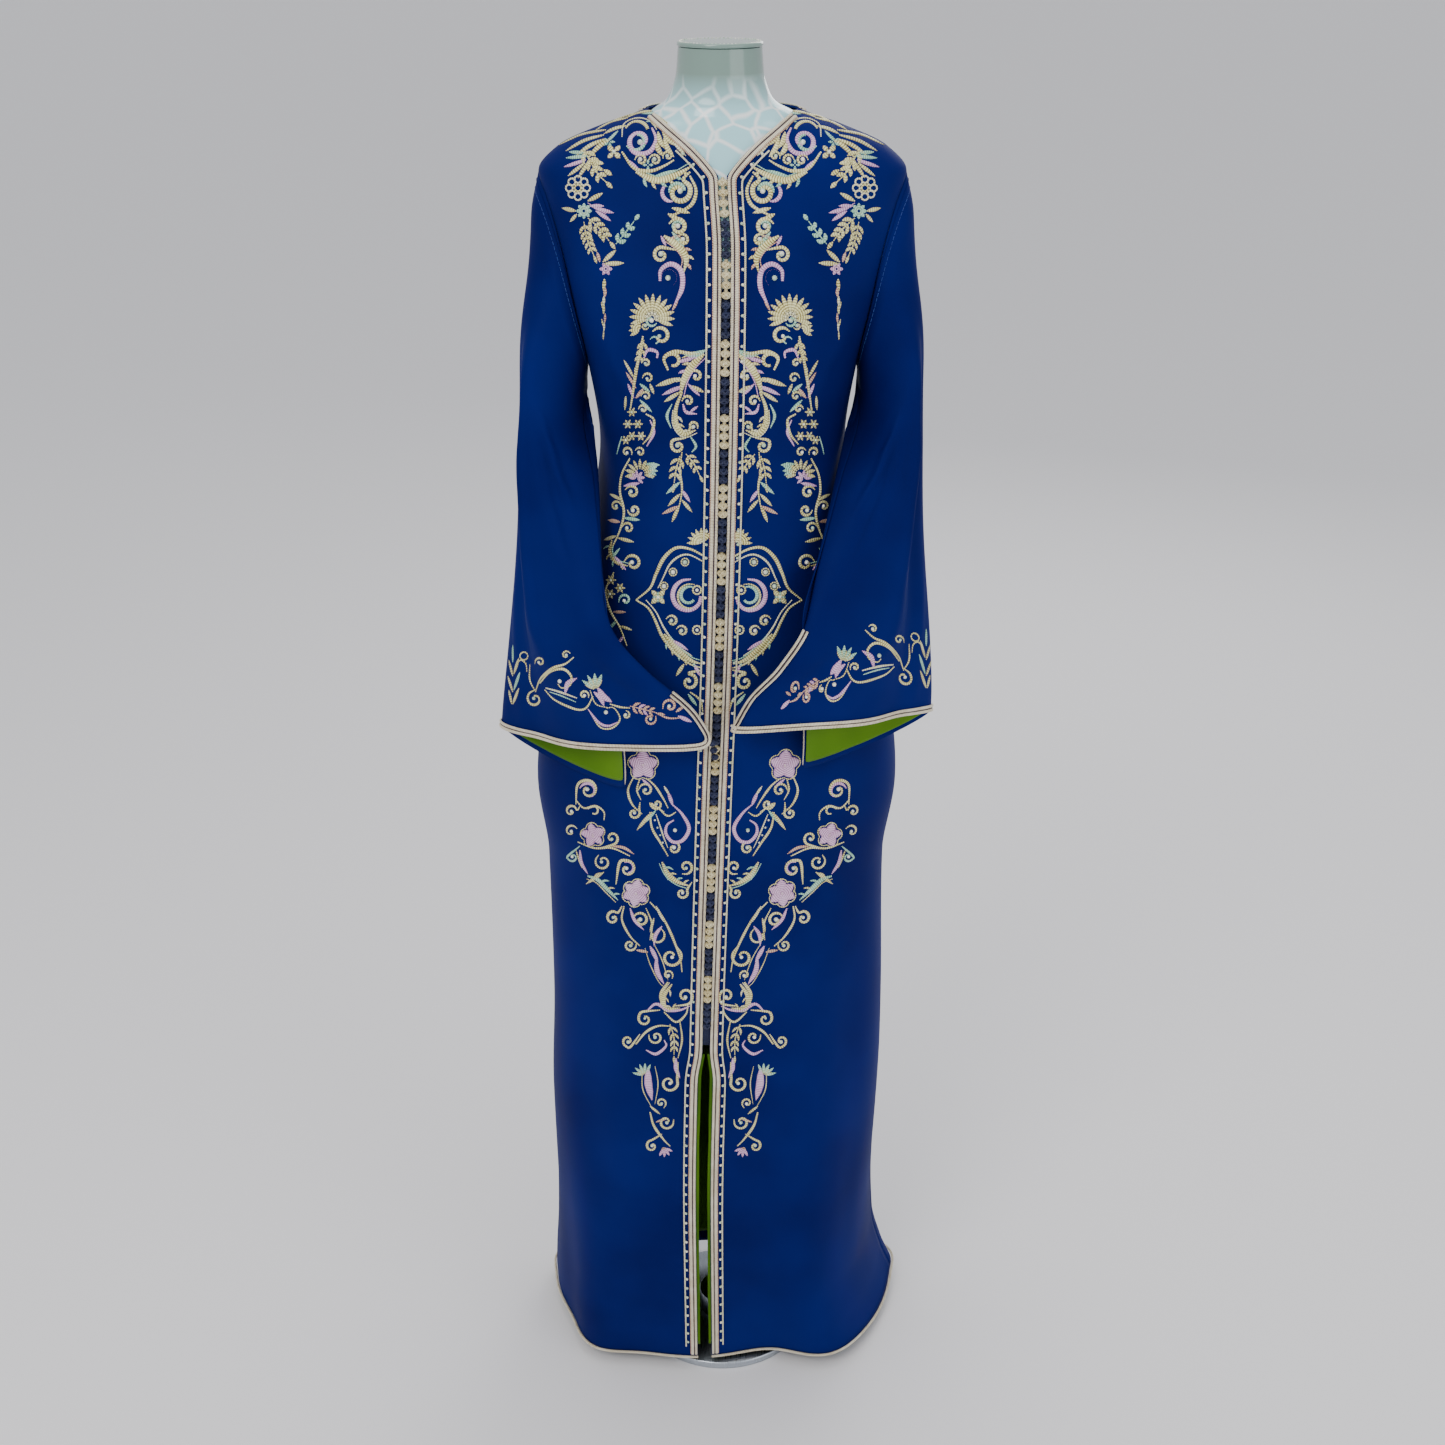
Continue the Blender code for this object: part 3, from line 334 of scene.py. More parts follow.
def steelMaterial():
    made, tree, shader = newMaterial("brushed_steel", (0.42, 0.46, 0.50), 0.25, Metallic=1.0)
    place = objectPlace(tree)
    stretch = addNode(tree, "Mapping", None, Scale=(400.0, 20.0, 20.0))
    tree.links.new(place, stretch.inputs["Vector"])
    brushed = noiseAt(tree, stretch.outputs[0], Scale=3.0, Detail=4.0)
    tone = mixColour(tree, brushed.outputs["Fac"], (0.36, 0.40, 0.45, 1.0), (0.55, 0.59, 0.63, 1.0))
    tree.links.new(tone, shader.inputs["Base Color"])
    rough = rampBetween(tree, brushed.outputs["Fac"], -0.6, 3.0)
    tree.links.new(rough, shader.inputs["Roughness"])
    addBump(tree, shader, brushed.outputs["Fac"], 0.08, 0.0005)
    return made


mintShell = formMaterial()
brushedSteel = steelMaterial()
floorPale, _, _ = newMaterial("pale_floor", (0.90, 0.88, 0.89), 0.60)


def buildStage():
    # one wide floor under the garment; from the photograph's side it fills the picture
    settings = {"half": 45.0, "low": 0.0}
    half, low = settings["half"], settings["low"]
    mesh = bpy.data.meshes.new("floor")
    mesh.from_pydata([(-half, -half, low), (half, -half, low), (half, half, low), (-half, half, low)], [],
                     [(0, 1, 2, 3)])
    mesh.materials.append(floorPale)
    floor = bpy.data.objects.new("floor", mesh)
    bpy.context.scene.collection.objects.link(floor)


def buildLights():
    lamps = (
        {"name": "key", "place": (-1.3, -2.6, 3.1), "size": 1.8, "power": 50.0, "colour": (1.0, 0.98, 0.95)},
        {"name": "fill", "place": (2.2, -2.2, 1.6), "size": 2.2, "power": 20.0, "colour": (0.95, 0.97, 1.0)},
        {"name": "back", "place": (1.1, 3.0, 2.4), "size": 2.0, "power": 26.0, "colour": (1.0, 1.0, 1.0)},
        {"name": "top", "place": (0.0, 0.2, 3.4), "size": 1.6, "power": 15.0, "colour": (1.0, 1.0, 1.0)},
    )
    for lamp in lamps:
        data = bpy.data.lights.new(lamp["name"], "AREA")
        data.shape = "DISK"
        data.size = lamp["size"]
        data.energy = lamp["power"]
        data.color = lamp["colour"]
        made = bpy.data.objects.new(lamp["name"], data)
        made.location = lamp["place"]
        aim = Vector((0, 0, 0.9)) - Vector(lamp["place"])
        made.rotation_euler = aim.to_track_quat("-Z", "Y").to_euler()
        bpy.context.scene.collection.objects.link(made)
    world = bpy.data.worlds.new("studio")
    world.use_nodes = True
    world.node_tree.nodes["Background"].inputs["Color"].default_value = (0.86, 0.88, 0.92, 1.0)
    world.node_tree.nodes["Background"].inputs["Strength"].default_value = 0.84
    bpy.context.scene.world = world


buildStage()
buildLights()
print("stage, camera and materials made")

hemZ, armpitZ, tipZ, neckFrontZ, neckTopZ, slitTopZ = 0.020, 1.270, 1.462, 1.466, 1.5205, 0.489
seamGap = 0.0004  # between two pieces of cloth at a seam
closureHalf, slitHalf, slitEase = 0.0041, 0.0088, 0.045
armholeWidest = {"front": 0.058, "back": 0.046}

# z, shift to the side, half width, y of the front, of the sides and of the back, squareness
bodySections = (
    (0.020, 0.003, 0.224, -0.103, 0.070, 0.123, 3.0),
    (0.060, -0.004, 0.215, -0.104, 0.066, 0.122, 3.0),
    (0.120, -0.009, 0.206, -0.105, 0.060, 0.121, 2.9),
    (0.200, -0.010, 0.203, -0.106, 0.056, 0.119, 2.9),
    (0.350, -0.009, 0.204, -0.108, 0.050, 0.117, 2.8),
    (0.500, -0.006, 0.200, -0.110, 0.045, 0.115, 2.7),
    (0.690, -0.008, 0.197, -0.113, 0.040, 0.113, 2.6),
    (0.785, -0.007, 0.207, -0.115, 0.036, 0.112, 2.6),
    (0.900, -0.005, 0.192, -0.117, 0.030, 0.110, 2.5),
    (1.050, -0.002, 0.154, -0.119, 0.020, 0.104, 2.4),
    (1.190, 0.000, 0.130, -0.124, 0.014, 0.098, 2.3),
    (1.270, 0.000, 0.140, -0.128, 0.010, 0.098, 2.3),
    (1.340, 0.000, 0.160, -0.121, 0.006, 0.097, 2.3),
    (1.400, 0.000, 0.174, -0.102, 0.004, 0.094, 2.3),
    (1.440, 0.000, 0.181, -0.086, 0.003, 0.089, 2.3),
    (1.462, 0.000, 0.184, -0.077, 0.002, 0.085, 2.3),
    (1.485, 0.000, 0.164, -0.067, 0.002, 0.079, 2.2),
    (1.505, 0.000, 0.119, -0.057, 0.002, 0.071, 2.1),
    (1.5216, 0.000, 0.0725, -0.047, 0.002, 0.063, 2.0),
    (1.532, 0.000, 0.0600, -0.043, 0.002, 0.058, 2.0),
    (1.545, 0.000, 0.0530, -0.041, 0.002, 0.055, 2.0),
)
# arc at the hem, how far out there, half width, height where the fold has died away
skirtFolds = (
    (0.060, -0.016, 0.055, 0.42),
    (0.128, 0.012, 0.045, 0.55),
    (0.235, -0.016, 0.075, 0.42),
    (-0.110, -0.004, 0.050, 0.30),
    (-0.165, 0.010, 0.040, 0.45),
    (-0.235, -0.012, 0.055, 0.50),
    (0.400, 0.014, 0.050, 0.95),
    (0.480, -0.014, 0.045, 0.95),
    (-0.400, 0.014, 0.050, 0.95),
    (-0.480, -0.014, 0.045, 0.95),
)
closureLine = (
    (0.020, -0.0225), (0.250, -0.0235), (0.489, -0.0190), (0.780, -0.0105), (1.020, -0.0025),
    (1.250, 0.0020), (1.400, 0.0035), (1.466, 0.0000), (1.540, 0.0000),
)
neckline = (
    (1.466, 0.0041), (1.474, 0.0105), (1.483, 0.0190), (1.494, 0.0310),
    (1.505, 0.0455), (1.514, 0.0590), (1.5216, 0.0715),
)


def eased(share):
    return share * share * (3 - 2 * share)


def runAlong(points):
    # length along a line at each of its points
    return np.concatenate([[0], np.cumsum(np.linalg.norm(np.diff(points, axis=0), axis=1))])


def smoothBetween(places, values, at):
    # values between the rows of a table, on a smooth curve that doesn't overshoot
    places = np.asarray(places, float)
    values = np.asarray(values, float)
    step = np.diff(places)
    slope = (np.diff(values, axis=0).T / step).T
    ends = np.zeros_like(values)
    same = slope[:-1] * slope[1:] > 0
    ends[1:-1] = np.where(same, 2 * slope[:-1] * slope[1:] / np.where(same, slope[:-1] + slope[1:], 1), 0)
    ends[0], ends[-1] = slope[0], slope[-1]
    at = float(np.clip(at, places[0], places[-1]))
    k = int(np.clip(np.searchsorted(places, at) - 1, 0, len(step) - 1))
    t = (at - places[k]) / step[k]
    rise = values[k] * (2 * t**3 - 3 * t**2 + 1) + values[k + 1] * (3 * t**2 - 2 * t**3)
    return rise + step[k] * (ends[k] * (t**3 - 2 * t**2 + t) + ends[k + 1] * (t**3 - t**2))


def tableAt(table, at):
    table = np.array(table)
    return smoothBetween(table[:, 0], table[:, 1:], at)


def closureX(z):
    return float(tableAt(closureLine, z)[0])


outlineCache = {}


def halfOutline(z):
    # one half of the section: x from the middle, y, arc, arc of the side line, shift
    key = round(float(z), 6)
    if key not in outlineCache:
        shift, halfWidth, front, side, back, square = tableAt(bodySections, z)
        turn = np.linspace(0, math.pi, 181)
        x = halfWidth * np.clip(np.sin(turn), 0, 1) ** (2 / square)
        ahead = np.abs(np.cos(turn)) ** (2 / square)
        y = np.where(turn < math.pi / 2, side - (side - front) * ahead, side + (back - side) * ahead)
        arc = np.concatenate([[0], np.cumsum(np.hypot(np.diff(x), np.diff(y)))])
        outlineCache[key] = (x, y, arc, arc[90], shift)
    return outlineCache[key]


def sideArc(z):
    return halfOutline(z)[3]


def backArc(z):
    return halfOutline(z)[2][-1]


def arcOfX(x, z):
    xs, _, arc, _, shift = halfOutline(z)
    return math.copysign(float(np.interp(abs(x - shift), xs[:91], arc[:91])), x - shift)


def skirtFoldOut(arcs, z):
    share = arcs / backArc(z) * backArc(hemZ)
    total = np.zeros_like(share)
    for at, out, halfWidth, topZ in skirtFolds:
        height = max(0.0, 1 - (z - hemZ) / (topZ - hemZ))
        total += out * height**1.3 * np.exp(-(((share - at) / halfWidth) ** 2))
    return total


def armholeHalf(z, widest):
    share = (z - armpitZ) / (tipZ - armpitZ)
    return widest * math.sqrt(math.sin(math.pi * share**0.75)) if 0 < share < 1 else 0.0


def closureEdge(z, side):
    if z > neckFrontZ:
        return closureX(z) + side * float(tableAt(neckline, z)[0])
    share = eased(min(max((slitTopZ - z) / slitEase, 0), 1))
    return closureX(z) + side * (closureHalf + (slitHalf - closureHalf) * share)


def gridNormals(points, flip=1.0):
    down = np.gradient(points, axis=0)
    over = np.gradient(points, axis=1)
    found = np.cross(over, down) * flip
    return found / np.maximum(np.linalg.norm(found, axis=2, keepdims=True), 1e-12)


def uneven(a, b, seed):
    # a soft, never repeating wave between -1 and 1
    rng = random.Random(seed)
    total = 0.0
    for k in range(4):
        fa, fb = rng.uniform(0.6, 1.6) * (1 + 0.7 * k), rng.uniform(-1.2, 1.2) * (1 + 0.7 * k)
        total = total + np.sin(fa * a + fb * b + rng.uniform(0, 6.28)) / (1 + k)
    return total / 2.1


# creases of the body's cloth: both ends as X, Z on the front or back, half width, how far out
frontCreases = (
    ((-0.128, 1.330), (-0.070, 1.215), 0.010, 0.0022),
    ((-0.118, 1.300), (-0.085, 1.150), 0.012, -0.0020),
    ((0.130, 1.335), (0.075, 1.225), 0.010, 0.0022),
    ((0.120, 1.300), (0.088, 1.150), 0.012, -0.0020),
    ((-0.150, 1.430), (-0.100, 1.380), 0.012, -0.0018),
    ((0.150, 1.430), (0.105, 1.375), 0.012, -0.0018),
    ((-0.125, 1.150), (-0.120, 0.700), 0.016, 0.0026),
    ((0.122, 1.150), (0.128, 0.700), 0.016, 0.0026),
    ((-0.165, 0.780), (-0.150, 0.200), 0.020, -0.0030),
    ((-0.105, 0.620), (-0.115, 0.060), 0.024, 0.0022),
    ((-0.060, 0.500), (-0.070, 0.040), 0.018, -0.0018),
    ((0.060, 0.560), (0.062, 0.080), 0.022, 0.0020),
    ((0.150, 0.740), (0.165, 0.100), 0.020, -0.0032),
    ((0.105, 0.650), (0.110, 0.200), 0.020, 0.0022),
)
backCreases = (
    ((-0.110, 1.400), (-0.060, 1.180), 0.014, 0.0044),
    ((0.110, 1.400), (0.060, 1.180), 0.014, 0.0044),
    ((-0.060, 1.200), (-0.070, 0.300), 0.022, -0.0080),
    ((0.055, 1.180), (0.075, 0.250), 0.022, -0.0080),
    ((0.000, 1.150), (0.004, 0.050), 0.024, 0.0078),
    ((-0.130, 1.000), (-0.150, 0.100), 0.020, 0.0074),
    ((0.130, 1.000), (0.150, 0.100), 0.020, 0.0074),
    ((-0.030, 1.470), (0.040, 1.462), 0.010, -0.0022),
    ((-0.080, 1.060), (0.010, 1.030), 0.012, -0.0034),
)


def creasesOut(points, creases, seed):
    total = np.zeros(points.shape[:2])
    x, z = points[..., 0], points[..., 2]
    for k, (start, end, half, out) in enumerate(creases):
        a, b = np.array(start), np.array(end)
        run = b - a
        length = np.hypot(*run)
        along = ((x - a[0]) * run[0] + (z - a[1]) * run[1]) / length**2
        off = ((x - a[0]) * run[1] - (z - a[1]) * run[0]) / length
        off = off + 0.35 * half * uneven(along * 9, 0.0, seed + k)
        ends = eased(np.clip(np.minimum(along + 0.10, 1.10 - along) / 0.45, 0, 1))
        strength = 0.8 + 0.35 * uneven(along * 7, off * 20, seed + 50 + k)
        total += out * strength * ends * np.exp(-((off / half) ** 2))
    return total


rowSettings = {"first": 0.0255, "last": 1.262, "step": 0.0065}


def bodyRows():
    # heights of the cloth's rows: even ones, then closer ones at the armhole and the neck
    low = np.concatenate([[hemZ], np.arange(rowSettings["first"], rowSettings["last"], rowSettings["step"])])
    middle, reach = (armpitZ + tipZ) / 2, (tipZ - armpitZ) / 2
    arm = middle + reach * np.cos(np.pi * np.linspace(1, 0, 61))
    top = np.concatenate([[neckFrontZ], np.linspace(neckFrontZ, neckTopZ, 22)[1:]])
    return np.concatenate([low, arm, top])


def bodyGrid(rowsOfArcs, zs, flip, creases, seed):
    plain = np.zeros((*rowsOfArcs.shape, 3))
    outs = np.zeros(rowsOfArcs.shape)
    for k, z in enumerate(zs):
        xs, ys, arcs, _, shift = halfOutline(z)
        here = rowsOfArcs[k]
        plain[k, :, 0] = shift + np.sign(here) * np.interp(np.abs(here), arcs, xs)
        plain[k, :, 1] = np.interp(np.abs(here), arcs, ys)
        plain[k, :, 2] = z
        outs[k] = skirtFoldOut(here, z)
    outs = outs + creasesOut(plain, creases, seed)
    points = plain + gridNormals(plain, flip) * outs[..., None]
    return {"points": points, "ways": gridNormals(points, flip)}


def frontGrid(side):
    zs = bodyRows()
    share = np.linspace(0, 1, 47)
    rows = []
    for z in zs:
        first = arcOfX(closureEdge(z, side), z)
        last = side * (sideArc(z) - armholeHalf(z, armholeWidest["front"]) - seamGap / 2)
        rows.append(first + (last - first) * share)
    return bodyGrid(np.array(rows), zs, side, frontCreases, 11)


def backGrid():
    zs = bodyRows()
    share = np.linspace(1, -1, 83)
    rows = []
    for z in zs:
        reach = backArc(z) - sideArc(z) - armholeHalf(z, armholeWidest["back"]) - seamGap / 2
        across = reach * share
        sign = np.where(across >= 0, 1.0, -1.0)
        rows.append(sign * (backArc(z) - np.abs(across)))
    return bodyGrid(np.array(rows), zs, 1.0, backCreases, 31)


# along, outer fold, front layer's inner edge, back layer's inner edge, front swell, back swell
sleeveSections = (
    (0.00, (0.184, 0.002, 1.462), (0.140, 0.010, 1.270), (0.140, 0.010, 1.270), 0.050, 0.046),
    (0.08, (0.193, 0.002, 1.420), (0.142, 0.006, 1.252), (0.142, 0.006, 1.252), 0.058, 0.050),
    (0.20, (0.196, 0.000, 1.350), (0.143, -0.025, 1.220), (0.143, -0.025, 1.220), 0.058, 0.042),
    (0.34, (0.199, -0.008, 1.250), (0.127, -0.075, 1.165), (0.127, -0.075, 1.165), 0.046, 0.026),
    (0.50, (0.208, -0.020, 1.130), (0.112, -0.114, 1.092), (0.112, -0.114, 1.092), 0.037, 0.014),
    (0.66, (0.2215, -0.032, 1.026), (0.100, -0.140, 1.032), (0.100, -0.140, 1.032), 0.030, 0.008),
    (0.80, (0.2315, -0.041, 0.964), (0.066, -0.149, 0.983), (0.104, -0.128, 0.960), 0.030, 0.008),
    (0.92, (0.239, -0.047, 0.914), (0.028, -0.149, 0.943), (0.097, -0.122, 0.892), 0.031, 0.006),
    (1.00, (0.2425, -0.050, 0.886), (0.0072, -0.145, 0.903), (0.0966, -0.120, 0.850), 0.031, 0.006),
)
cuffMoves = {
    "left": {"outer": (-0.0155, -0.012, 0.012), "front": (0, 0, 0.006), "back": (-0.0105, -0.010, 0.013)},
    "right": {"outer": (0.001, 0, -0.010), "front": (0, 0, -0.008), "back": (0.009, 0, -0.014)},
}
halfwayMoves = {"left": (-0.0155, -0.009, 0), "right": (0.0155, 0, 0)}
cuffBows = {"left": (0.009, -0.012), "right": (-0.002, -0.016)}  # front layer, back layer
sleeveFolds = ((0.42, 0.20, 0.007), (0.20, 0.13, -0.006))  # share across from the outer fold, half width, out
slitAlong = 0.66
shoulderShare, armholeShare = 0.42, 0.22  # along the sleeve, where the pull of shoulder and armhole ends
cornerRadius = {"left": 0.0060, "right": 0.0180}  # front layer's corner at the cuff, as the photograph shows
cornerRows = 30


def sleeveRow(along, hand):
    places = [row[0] for row in sleeveSections]
    names = ("outer", "front", "back", "frontSwell", "backSwell")
    row = {}
    for k, field in enumerate(names, 1):
        row[field] = smoothBetween(places, [section[k] for section in sleeveSections], along)
    for field, move in cuffMoves[hand].items():
        row[field] = row[field] + np.array(move) * along**3
    for field in ("front", "back"):
        row[field] = row[field] + np.array(halfwayMoves[hand]) * math.sin(math.pi * along**1.5) ** 2
    return row


def unit(vector):
    return vector / max(np.linalg.norm(vector), 1e-12)


def hangingLine(turns, along, hand):
    # one row of the sleeve: turn -1 is the front layer's inner edge, 0 the outer fold, +1 the back's
    row = sleeveRow(along, hand)
    points = []
    upper = max(0.0, 1 - along / shoulderShare) ** 1.2
    for turn in turns:
        ahead = 1 if turn < 0 else -1
        edge = row["front"] if turn < 0 else row["back"]
        swell = float(row["frontSwell"] if turn < 0 else row["backSwell"])
        width = edge - row["outer"]
        out = unit(np.cross(width, np.array([0.0, 0.0, 1.0])))
        out = out if out[1] < 0 else -out
        out = unit(out * (1 - upper) + np.array([0.10, -1.0, 0.0]) * upper)
        share = (1 - math.cos(math.pi * abs(turn))) / 2
        rise = math.sin(math.pi * abs(turn))
        folds = 0.0
        if turn < 0:
            for at, half, foldOut in sleeveFolds:
                folds += foldOut * math.exp(-(((share - at) / half) ** 2))
            folds *= rise * math.sin(math.pi * min(along / 0.9, 1) / 1.6)
        bow = np.array([0.0, 0.0, cuffBows[hand][turn >= 0] * rise * along**3])
        points.append(row["outer"] + width * share + ahead * out * (swell * rise + folds) + bow)
    return np.array(points)


def bodyPoint(arc, z):
    xs, ys, arcs, _, shift = halfOutline(z)
    x = shift + math.copysign(1, arc) * float(np.interp(abs(arc), arcs, xs))
    return np.array([x, float(np.interp(abs(arc), arcs, ys)), z])


def armholeRim(turn):
    low, high = armpitZ + 2 * seamGap, tipZ - 2 * seamGap
    z = (armpitZ + tipZ) / 2 + (tipZ - armpitZ) / 2 * math.cos(math.pi * abs(turn))
    half = max(armholeHalf(z, armholeWidest["front" if turn < 0 else "back"]) - 2 * seamGap, 0.0)
    z = min(max(z, low), high)
    return bodyPoint(sideArc(z) + math.copysign(half, turn), z)


# creases of a sleeve: both ends as turn and along, half width as a share of the half turn, how far out
sleeveCreases = (
    ((-0.42, 0.24), (-0.47, 0.76), 0.034, 0.0058),
    ((-0.31, 0.20), (-0.34, 0.84), 0.046, -0.0046),
    ((-0.62, 0.26), (-0.80, 0.42), 0.042, 0.0044),
    ((-0.55, 0.30), (-0.74, 0.52), 0.040, -0.0034),
    ((-0.50, 0.70), (-0.56, 0.98), 0.055, 0.0038),
    ((-0.70, 0.74), (-0.74, 0.98), 0.050, -0.0030),
    ((-0.24, 0.58), (-0.26, 0.99), 0.045, 0.0034),
    ((0.30, 0.10), (0.36, 0.90), 0.070, 0.0040),
    ((0.55, 0.20), (0.62, 0.80), 0.060, -0.0035),
    ((0.75, 0.20), (0.60, 0.45), 0.050, 0.0030),
)
sleeveColumns = 60


def sleeveGrid(hand):
    turns = np.concatenate([-np.linspace(1, 0, sleeveColumns + 1), np.linspace(0, 1, sleeveColumns + 1)[1:]])
    alongs = np.linspace(0, 1, 131)
    rim = np.array([armholeRim(t) for t in turns]) - hangingLine(turns, 0.0, hand)
    rows = []
    for along in alongs:
        hold = max(0.0, 1 - along / armholeShare)
        rows.append(hangingLine(turns, along, hand) + rim * eased(hold))
    points = np.array(rows)
    total = np.zeros(points.shape[:2])
    turnGrid, alongGrid = np.meshgrid(turns, alongs)
    for k, (a, b, half, out) in enumerate(sleeveCreases):
        share = np.clip((alongGrid - a[1]) / (b[1] - a[1]), -0.5, 1.5)
        centre = a[0] + (b[0] - a[0]) * share + 0.4 * half * uneven(share * 6, 0.0, 70 + k)
        ends = eased(np.clip(np.minimum(share + 0.1, 1.1 - share) / 0.4, 0, 1))
        strength = 0.85 + 0.3 * uneven(share * 8, turnGrid * 3, 90 + k)
        total += out * strength * ends * np.exp(-(((turnGrid - centre) / half) ** 2))
    total *= np.clip(alongGrid / 0.06, 0, 1) * np.clip((1 - np.abs(turnGrid)) / 0.08, 0, 1)
    points = points + gridNormals(points, -1.0) * total[..., None]
    points = roundCorner(points, alongs, hand)
    flip = np.array([1.0 if hand == "left" else -1.0, 1.0, 1.0])
    points = points * flip
    return {"points": points, "ways": gridNormals(points, -flip[0]), "alongs": alongs}


def roundCorner(points, alongs, hand):
    # the front layer's corner at the cuff is cut round
    radius = cornerRadius[hand]
    made = points.copy()
    last = len(alongs) - 1
    for i in range(last - cornerRows, last + 1):
        for j in range(sleeveColumns // 2):
            down = np.linalg.norm(points[last, j] - points[i, j])
            over = np.linalg.norm(points[i, 0] - points[i, j])
            q = np.array([radius - down, radius - over])
            if q.min() <= 0:
                continue
            q = q * (q.max() / np.linalg.norm(q)) - q
            below = unit(points[min(i + 1, last), j] - points[min(i + 1, last) - 1, j])
            inward = unit(points[i, j + 1] - points[i, j])
            made[i, j] = points[i, j] + below * q[0] - inward * q[1]
    return made


grids = {
    "front_left": frontGrid(1.0),
    "front_right": frontGrid(-1.0),
    "back": backGrid(),
    "sleeve_left": sleeveGrid("left"),
    "sleeve_right": sleeveGrid("right"),
}
print("cloth grids made")


def linked(name, data):
    made = bpy.data.objects.new(name, data)
    bpy.context.scene.collection.objects.link(made)
    return made


def meshWith(name, points, faces, uvs, material):
    # a mesh with a UV map and one material
    mesh = bpy.data.meshes.new(name)
    mesh.from_pydata(points, [], faces)
    layer = mesh.uv_layers.new(name="UVMap")
    layer.data.foreach_set("uv", np.array(uvs, dtype=float).reshape(-1))
    mesh.materials.append(material)
    return mesh


def gridQuads(points):
    rows, columns = points.shape[:2]
    index = np.arange(rows * columns).reshape(rows, columns)
    return np.stack([index[:-1, :-1], index[:-1, 1:], index[1:, 1:], index[1:, :-1]], axis=-1).reshape(-1, 4)


def gridMesh(name, points, material, flip=False):
    # a smooth mesh over a grid, with a UV map in metres
    quads = gridQuads(points)
    if flip:
        quads = quads[:, ::-1]
    across = np.zeros(points.shape[:2])
    across[:, 1:] = np.cumsum(np.linalg.norm(np.diff(points, axis=1), axis=2), axis=1)
    along = np.zeros(points.shape[:2])
    along[1:] = np.cumsum(np.linalg.norm(np.diff(points, axis=0), axis=2), axis=0)
    uv = np.stack([across, along], axis=-1).reshape(-1, 2)
    mesh = meshWith(name, points.reshape(-1, 3).tolist(), quads.tolist(), uv[quads.reshape(-1)], material)
    mesh.shade_smooth()
    return linked(name, mesh)


def thicken(piece, thickness):
    shell = piece.modifiers.new("thickness", "SOLIDIFY")
    shell.thickness = thickness
    shell.offset = -1
    shell.use_even_offset = False


def joinSeam(piece):
    # joins the two edges that meet under the arm
    work = bmesh.new()
    work.from_mesh(piece.data)
    bmesh.ops.remove_doubles(work, verts=work.verts, dist=0.00002)
    work.to_mesh(piece.data)
    work.free()
    piece.data.shade_smooth()


trees = {}


def rememberSurface(name, grid):
    quads, flat = gridQuads(grid["points"]), grid["points"].reshape(-1, 3)
    tree = BVHTree.FromPolygons(flat.tolist(), quads.tolist(), all_triangles=False)
    trees[name] = {"tree": tree, "quads": quads, "flat": flat, "ways": grid["ways"].reshape(-1, 3)}


def smoothWay(name, place, face):
    # the surface's way out there, from the face's corners by nearness
    kept = trees[name]
    corners = kept["quads"][face]
    weight = 1 / (np.linalg.norm(kept["flat"][corners] - place, axis=1) + 1e-5)
    return unit((kept["ways"][corners] * weight[:, None]).sum(axis=0))


def nearestOn(name, place):
    found, _, face, _ = trees[name]["tree"].find_nearest(Vector(place))
    found = np.array(found)
    return found, smoothWay(name, found, face)


def castOn(name, u, v):
    # where the photograph's pixel falls on a cloth, or None
    found, _, face, _ = trees[name]["tree"].ray_cast(Vector(camPlace), Vector(rayThrough(u, v)))
    if found is None:
        return None
    found = np.array(found)
    return found, smoothWay(name, found, face)


for clothName, clothGrid in grids.items():
    rememberSurface(clothName, clothGrid)

clothThickness = 0.0012


def buildCloth():
    for name, grid in grids.items():
        flip = name in ("front_left", "back", "sleeve_right")
        piece = gridMesh("cloth_" + name, grid["points"], blueCrepe, flip=not flip)
        if name.startswith("sleeve"):
            joinSeam(piece)
        thicken(piece, clothThickness)
        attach(piece, "root")
        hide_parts(name)


buildCloth()
print("cloth made")


def sweep(name, rings, material, closed=False):
    # a band through rings of points, capped at its ends, with UVs along and around it
    count = len(rings[0])
    flat = np.array(rings).reshape(-1, 3)
    uLengths = runAlong(np.array(rings).mean(axis=1))
    faces, uvs = [], []
    steps = len(rings) if closed else len(rings) - 1
    for i in range(steps):
        n = (i + 1) % len(rings)
        far = uLengths[n] if n else uLengths[-1] + 0.001
        for j in range(count):
            k = (j + 1) % count
            faces.append((i * count + j, i * count + k, n * count + k, n * count + j))
            a, b = j / count, (j + 1) / count
            uvs += [(uLengths[i], a), (uLengths[i], b), (far, b), (far, a)]
    if not closed:
        faces.append(tuple(reversed(range(count))))
        uvs += [(0, 0)] * count
        faces.append(tuple(range((len(rings) - 1) * count, len(rings) * count)))
        uvs += [(0, 0)] * count
    mesh = meshWith(name, flat.tolist(), faces, uvs, material)
    work = bmesh.new()
    work.from_mesh(mesh)
    bmesh.ops.recalc_face_normals(work, faces=work.faces)
    work.to_mesh(mesh)
    work.free()
    mesh.shade_smooth()
    mesh.set_sharp_from_angle(angle=math.radians(55))
    return linked(name, mesh)


def joinPieces(name, pieces):
    # one object from several, keeping their materials
    work = bmesh.new()
    materials = []
    for piece in pieces:
        own = piece.data.materials[0]
        if own not in materials:
            materials.append(own)
        start = len(work.faces)
        work.from_mesh(piece.data)
        work.faces.ensure_lookup_table()
        for face in work.faces[start:]:
            face.material_index = materials.index(own)
        bpy.data.objects.remove(piece)
    mesh = bpy.data.meshes.new(name)
    work.to_mesh(mesh)
    work.free()
    for own in materials:
        mesh.materials.append(own)
    return linked(name, mesh)


